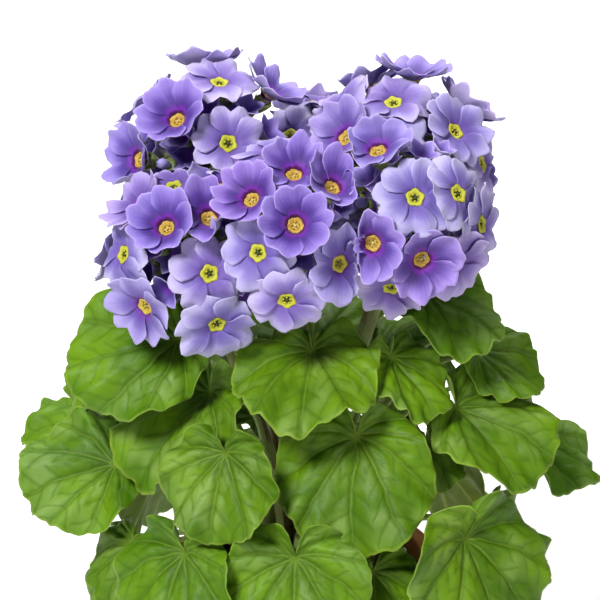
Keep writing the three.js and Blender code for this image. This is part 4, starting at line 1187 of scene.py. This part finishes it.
# half-open flowers and buds, which stand on shorter pedicels under the open flowers
youngOnes = {"tries": 220, "nearest": 20.0, "farthest": 36.0, "clear": 4.5, "apart": 9.0, "inside": 2.5,
             "lowest": 246.0, "age": 0.15, "buds": 0.3, "stalk": 0.8, "stalkEnd": 11.0,
             "stalkPoints": 6, "stalkRed": 0.3, "below": 6.5, "beside": 0.8, "sizes": (0.75, 0.35)}
bud = {"sides": 15,
       "rows": [(0, -4.2), (1.7, -3.8), (2.4, -1.2), (2.5, 0.8), (1.8, 2.6), (0.7, 3.4), (0, 3.5)],
       "lobed": {3: (0.08, 0), 4: (0.16, 0)}}
bell = {"sides": 20,
        "rows": [(0, -9), (1.3, -8.8), (1.5, -5), (2.3, -2.4), (4.6, 0.4), (6.8, 2.4), (7.7, 3.6),
                 (7.3, 3.5), (6.2, 2.1), (3.6, -0.4), (0, -3.4)],
        "lobed": {4: (0.05, 0.2), 5: (0.12, 0.5), 6: (0.2, 1.1), 7: (0.2, 1.1), 8: (0.12, 0.5), 9: (0.05, 0.2)},
        "numbers": {"along": [-0.3, -0.3, -0.2, 0.1, 0.5, 0.85, 1.0, 1.0, 0.7, 0.35, 0.1],
                    "under": [1.0] * 7 + [0.0] * 4}}
youngCalyx = {"sides": 15,
              "rows": [(0, -11.4), (1.2, -11.0), (2.0, -9.4), (2.8, -7.2), (3.2, -4.6), (2.9, -4.5), (0, -8.2)],
              "lobed": {3: (0.04, 0.2), 4: (0.08, 1.0), 5: (0.08, 1.0)}}


def clearOf(flower, place):
    away = place - flower["middle"]
    rise = away @ flower["facing"]
    out = math.sqrt(max(away @ away - rise * rise, 0))
    return rise < -youngOnes["below"] or out > youngOnes["beside"] * flower["radius"]


def youngPlaces(u, flowers):
    s, hub, planes, placed = youngOnes, hubOf(umbels[u]), umbelPlanes(u), []
    own = [flower["way"] for flower in flowers if flower["umbel"] == u]
    for k in range(s["tries"]):
        seed = 400 + 100 * u + k
        way = spiralWay((k + 0.5) * fill["tries"] / s["tries"])
        reach = mixed(s["nearest"], s["farthest"], draw(seed, 1))
        place = hub + way * reach
        clear = all(np.linalg.norm(np.cross(place - hub, line)) > s["clear"] or way @ line < 0 for line in own)
        free = all(np.linalg.norm(place - other["middle"]) > s["apart"] for other in placed)
        deep = min((onPlane - place) @ normal for onPlane, normal in planes) > s["inside"]
        hidden = all(clearOf(other, place) for other in flowers)
        if clear and free and deep and hidden and place[2] > s["lowest"]:
            frame = {"umbel": u, "way": way, "reach": reach, "age": s["age"], "seed": seed}
            placed.append({**frame, **flowerFrame(frame)})
    return placed


def addYoung(flower, petals, greens, stalks):
    s, seed = youngOnes, flower["seed"]
    looks = {"across": 0, "age": flower["age"], "tint": draw(seed, 90)}
    if draw(seed, 2) < s["buds"]:
        addTurned(bud, flower, petals, along=0.7, under=0.5, **looks)
    else:
        smallest, spread = s["sizes"]
        addTurned(bell, flower, petals, smallest + spread * draw(seed, 3), **looks)
    addTurned(youngCalyx, flower, greens, red=0.0)
    end = flower["middle"] - flower["facing"] * s["stalkEnd"]
    t = np.linspace(0, 1, s["stalkPoints"])[:, None]
    stalks.add(flower["hub"] + (end - flower["hub"]) * t, [s["stalk"]] * len(t), s["stalkRed"] * (1 - t[:, 0]))


hubShape = {"bracts": 7, "length": 7.5, "width": 1.5, "foot": 2.2, "half": 0.22, "sides": 14,
            "rows": 6, "cols": 5, "low": -1.8, "rise": 1.5, "droop": 3.5, "fold": 0.35,
            "knob": [(0, -3.4), (1.9, -3.0), (3.0, -1.4), (3.3, 0), (2.8, 1.8), (1.6, 2.9), (0, 3.3)]}


def addHub(u, greens):      # a knob with a ruff of small pointed bracts
    s, hub = hubShape, hubOf(umbels[u])
    points, faces = turned(s["knob"], s["sides"], upright())
    greens.add(points + hub, faces, red=0.2)
    v, w = np.linspace(0, 1, s["rows"])[:, None], np.linspace(-1, 1, s["cols"])[None, :]
    faces = [face[::-1] for face in shellFaces(s["rows"], s["cols"])]
    for k in range(s["bracts"]):
        azimuth = 360 * (k + 0.4 * draw(u, 60 + k)) / s["bracts"]
        way, side = ground(azimuth), ground(azimuth + 90)
        width = s["width"] * np.sin(np.pi * np.clip(v * 0.85 + 0.15, 0, 1)) ** 0.7
        long = s["length"] * (0.8 + 0.4 * draw(u, 70 + k))
        rise = s["low"] + s["rise"] * v - s["droop"] * v ** 2 * draw(u, 80 + k) + s["fold"] * w ** 2
        grid = (hub + way * (s["foot"] + long * v)[..., None] + side * (width * w)[..., None]
                + up * (rise + 0 * w)[..., None])
        greens.add(twoSides(grid, gridNormals(grid) * -s["half"]), faces, red=0.1)


def pedicelTo(flower):      # a line from the hub to the foot of a flower's calyx, bent a little
    s = flowerShape
    end = flower["middle"] - flower["facing"] * s["calyxBase"]
    way = unit(end - flower["hub"])
    start = flower["hub"] + way * s["pedicelStart"] * stems["hub"]
    t = np.linspace(0, 1, s["pedicelPoints"])[:, None]
    reach = np.linalg.norm(end - start)
    bend = 3 * t * (1 - t) * (flower["facing"] - way) * -s["pedicelBend"] * reach
    return start + (end - start) * t + bend, [s["pedicel"]] * len(t), s["pedicelRed"] * (1 - t[:, 0])


def buildUmbel(u, flowers):
    petals, eyes, greens, stalks = Gather(), Gather(), Gather(), Paths()
    addHub(u, greens)
    for flower in flowers:
        if flower["umbel"] == u:
            addPetals(flower, flowers, petals)
            addTurned(tube, flower, petals, across=0, age=flower["age"], tint=0.5, under=0)
            addTurned(eye, flower, eyes, age=flower["age"])
            addPollen(flower, eyes)
            addTurned(calyx, flower, greens, red=0.0)
            stalks.add(*pedicelTo(flower))
    for flower in youngPlaces(u, flowers):
        addYoung(flower, petals, greens, stalks)
    name = "umbel_%d" % (u + 1)
    keep(objectOf(name + "_petals", petals.mesh(name + "_petals"), "petal"), "petal", name)
    keep(objectOf(name + "_eyes", eyes.mesh(name + "_eyes"), "eye"), "petal", name)
    pedicels = stalks.grow(name + "_pedicels", 7)
    green = objectOf(name + "_calyces", greens.mesh(name + "_calyces"), "stem")
    return keep(joined(name + "_stalks", [green, pedicels]), "stem", name)


flowers = placeFlowers()
stalkPieces = [buildUmbel(u, flowers) for u in range(len(umbels))]
print("umbels made:", len(umbels), "with", len(flowers), "flowers")


# Hairs on the stems, petioles, pedicels and calyces
hairs = {"density": 90000.0, "length": 1.1, "thickness": 0.055, "seed": 11}


def buildHairs():
    grounds = [objectOf("hair_ground", mesh) for mesh in petioles]
    for piece, *_ in ready:
        if piece.name.startswith("scape_") or piece in stalkPieces:
            grounds.append(objectOf("hair_ground", piece.data.copy()))
    made = joined("stem_hairs", grounds)
    grown(made, trees["hair"], {"Density": hairs["density"], "Length": hairs["length"] * mm,
                                "Thickness": hairs["thickness"] * mm, "Seed": hairs["seed"],
                                "Material": paints["hair"]})
    keep(made, "stem")


buildHairs()
print("hairs made")

for piece, slot, nodes in ready:
    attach(piece, "root")
    if nodes:
        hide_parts(*nodes)


# Floor, light and camera
stage = {"floor": 14000.0, "pale": 0.90, "sky": 0.06}
lamps = {                   # place and aim in metres, width, power, spread
    "key": ((-0.9, -1.5, 1.9), (0, 0, 0.24), 0.7, 70, 180),
    "fill": ((1.4, -1.2, 0.9), (0, 0, 0.2), 1.4, 8, 180),
    "backdrop": ((0, 0.95, 1.5), (0, 0.95, 0), 1.3, 17, 100),
}
# axisAt is the pixel that shows the middle of the soil's level, from the picture's upper left corner
view = {"elevation": 20.0, "distance": 1800.0, "width": 300.0, "axisAt": (305, 570), "picture": 600}


def buildStage():
    made, t = shaderTree("pale_floor")
    tone = stage["pale"] + (t.noise(t.place(), 3.0, 1.0) - 0.5) * 0.01
    finished(t, Base_Color=t.colour(tone, (0, 0, 0), (1, 1, 1)), Roughness=0.9)
    half = stage["floor"]
    corners = [(-half, -half, 0), (half, -half, 0), (half, half, 0), (-half, half, 0)]
    floor = objectOf("floor", meshOf("floor", corners, [(0, 1, 2, 3)]))
    floor.data.materials.append(made)
    world = bpy.data.worlds.new("studio")
    world.use_nodes = True
    sky = world.node_tree.nodes["Background"].inputs
    sky["Color"].default_value, sky["Strength"].default_value = (1, 1, 1, 1), stage["sky"]
    bpy.context.scene.world = world
    bpy.context.scene.view_settings.view_transform = "Standard"


def addLight(name, place, aim, size, power, spread):
    data = bpy.data.lights.new(name, "AREA")
    data.shape, data.size, data.energy, data.spread = "DISK", size, power, rad(spread)
    lamp = bpy.data.objects.new(name, data)
    bpy.context.scene.collection.objects.link(lamp)
    lamp.location = Vector(place)
    lamp.rotation_euler = (Vector(aim) - lamp.location).to_track_quat("-Z", "Y").to_euler()


def buildCamera():
    data = bpy.data.cameras.new("camera")
    camera = bpy.data.objects.new("camera", data)
    bpy.context.scene.collection.objects.link(camera)
    pixel = view["width"] / view["picture"]
    middle = view["picture"] / 2
    toward = -ground(180) * math.cos(rad(view["elevation"])) + up * math.sin(rad(view["elevation"]))
    right = np.array([1.0, 0.0, 0.0])
    lift = np.cross(toward, right)
    target = up * soil["level"] + right * (middle - view["axisAt"][0]) * pixel
    target = target + lift * (view["axisAt"][1] - middle) * pixel
    camera.location = Vector((target + toward * view["distance"]) * mm)
    camera.rotation_euler = Vector(toward).to_track_quat("Z", "Y").to_euler()
    data.lens = data.sensor_width * view["distance"] / view["width"]
    data.clip_end = 100
    bpy.context.scene.camera = camera


buildStage()
for name, lamp in lamps.items():
    addLight(name, *lamp)
buildCamera()
print("stage, light and camera made")
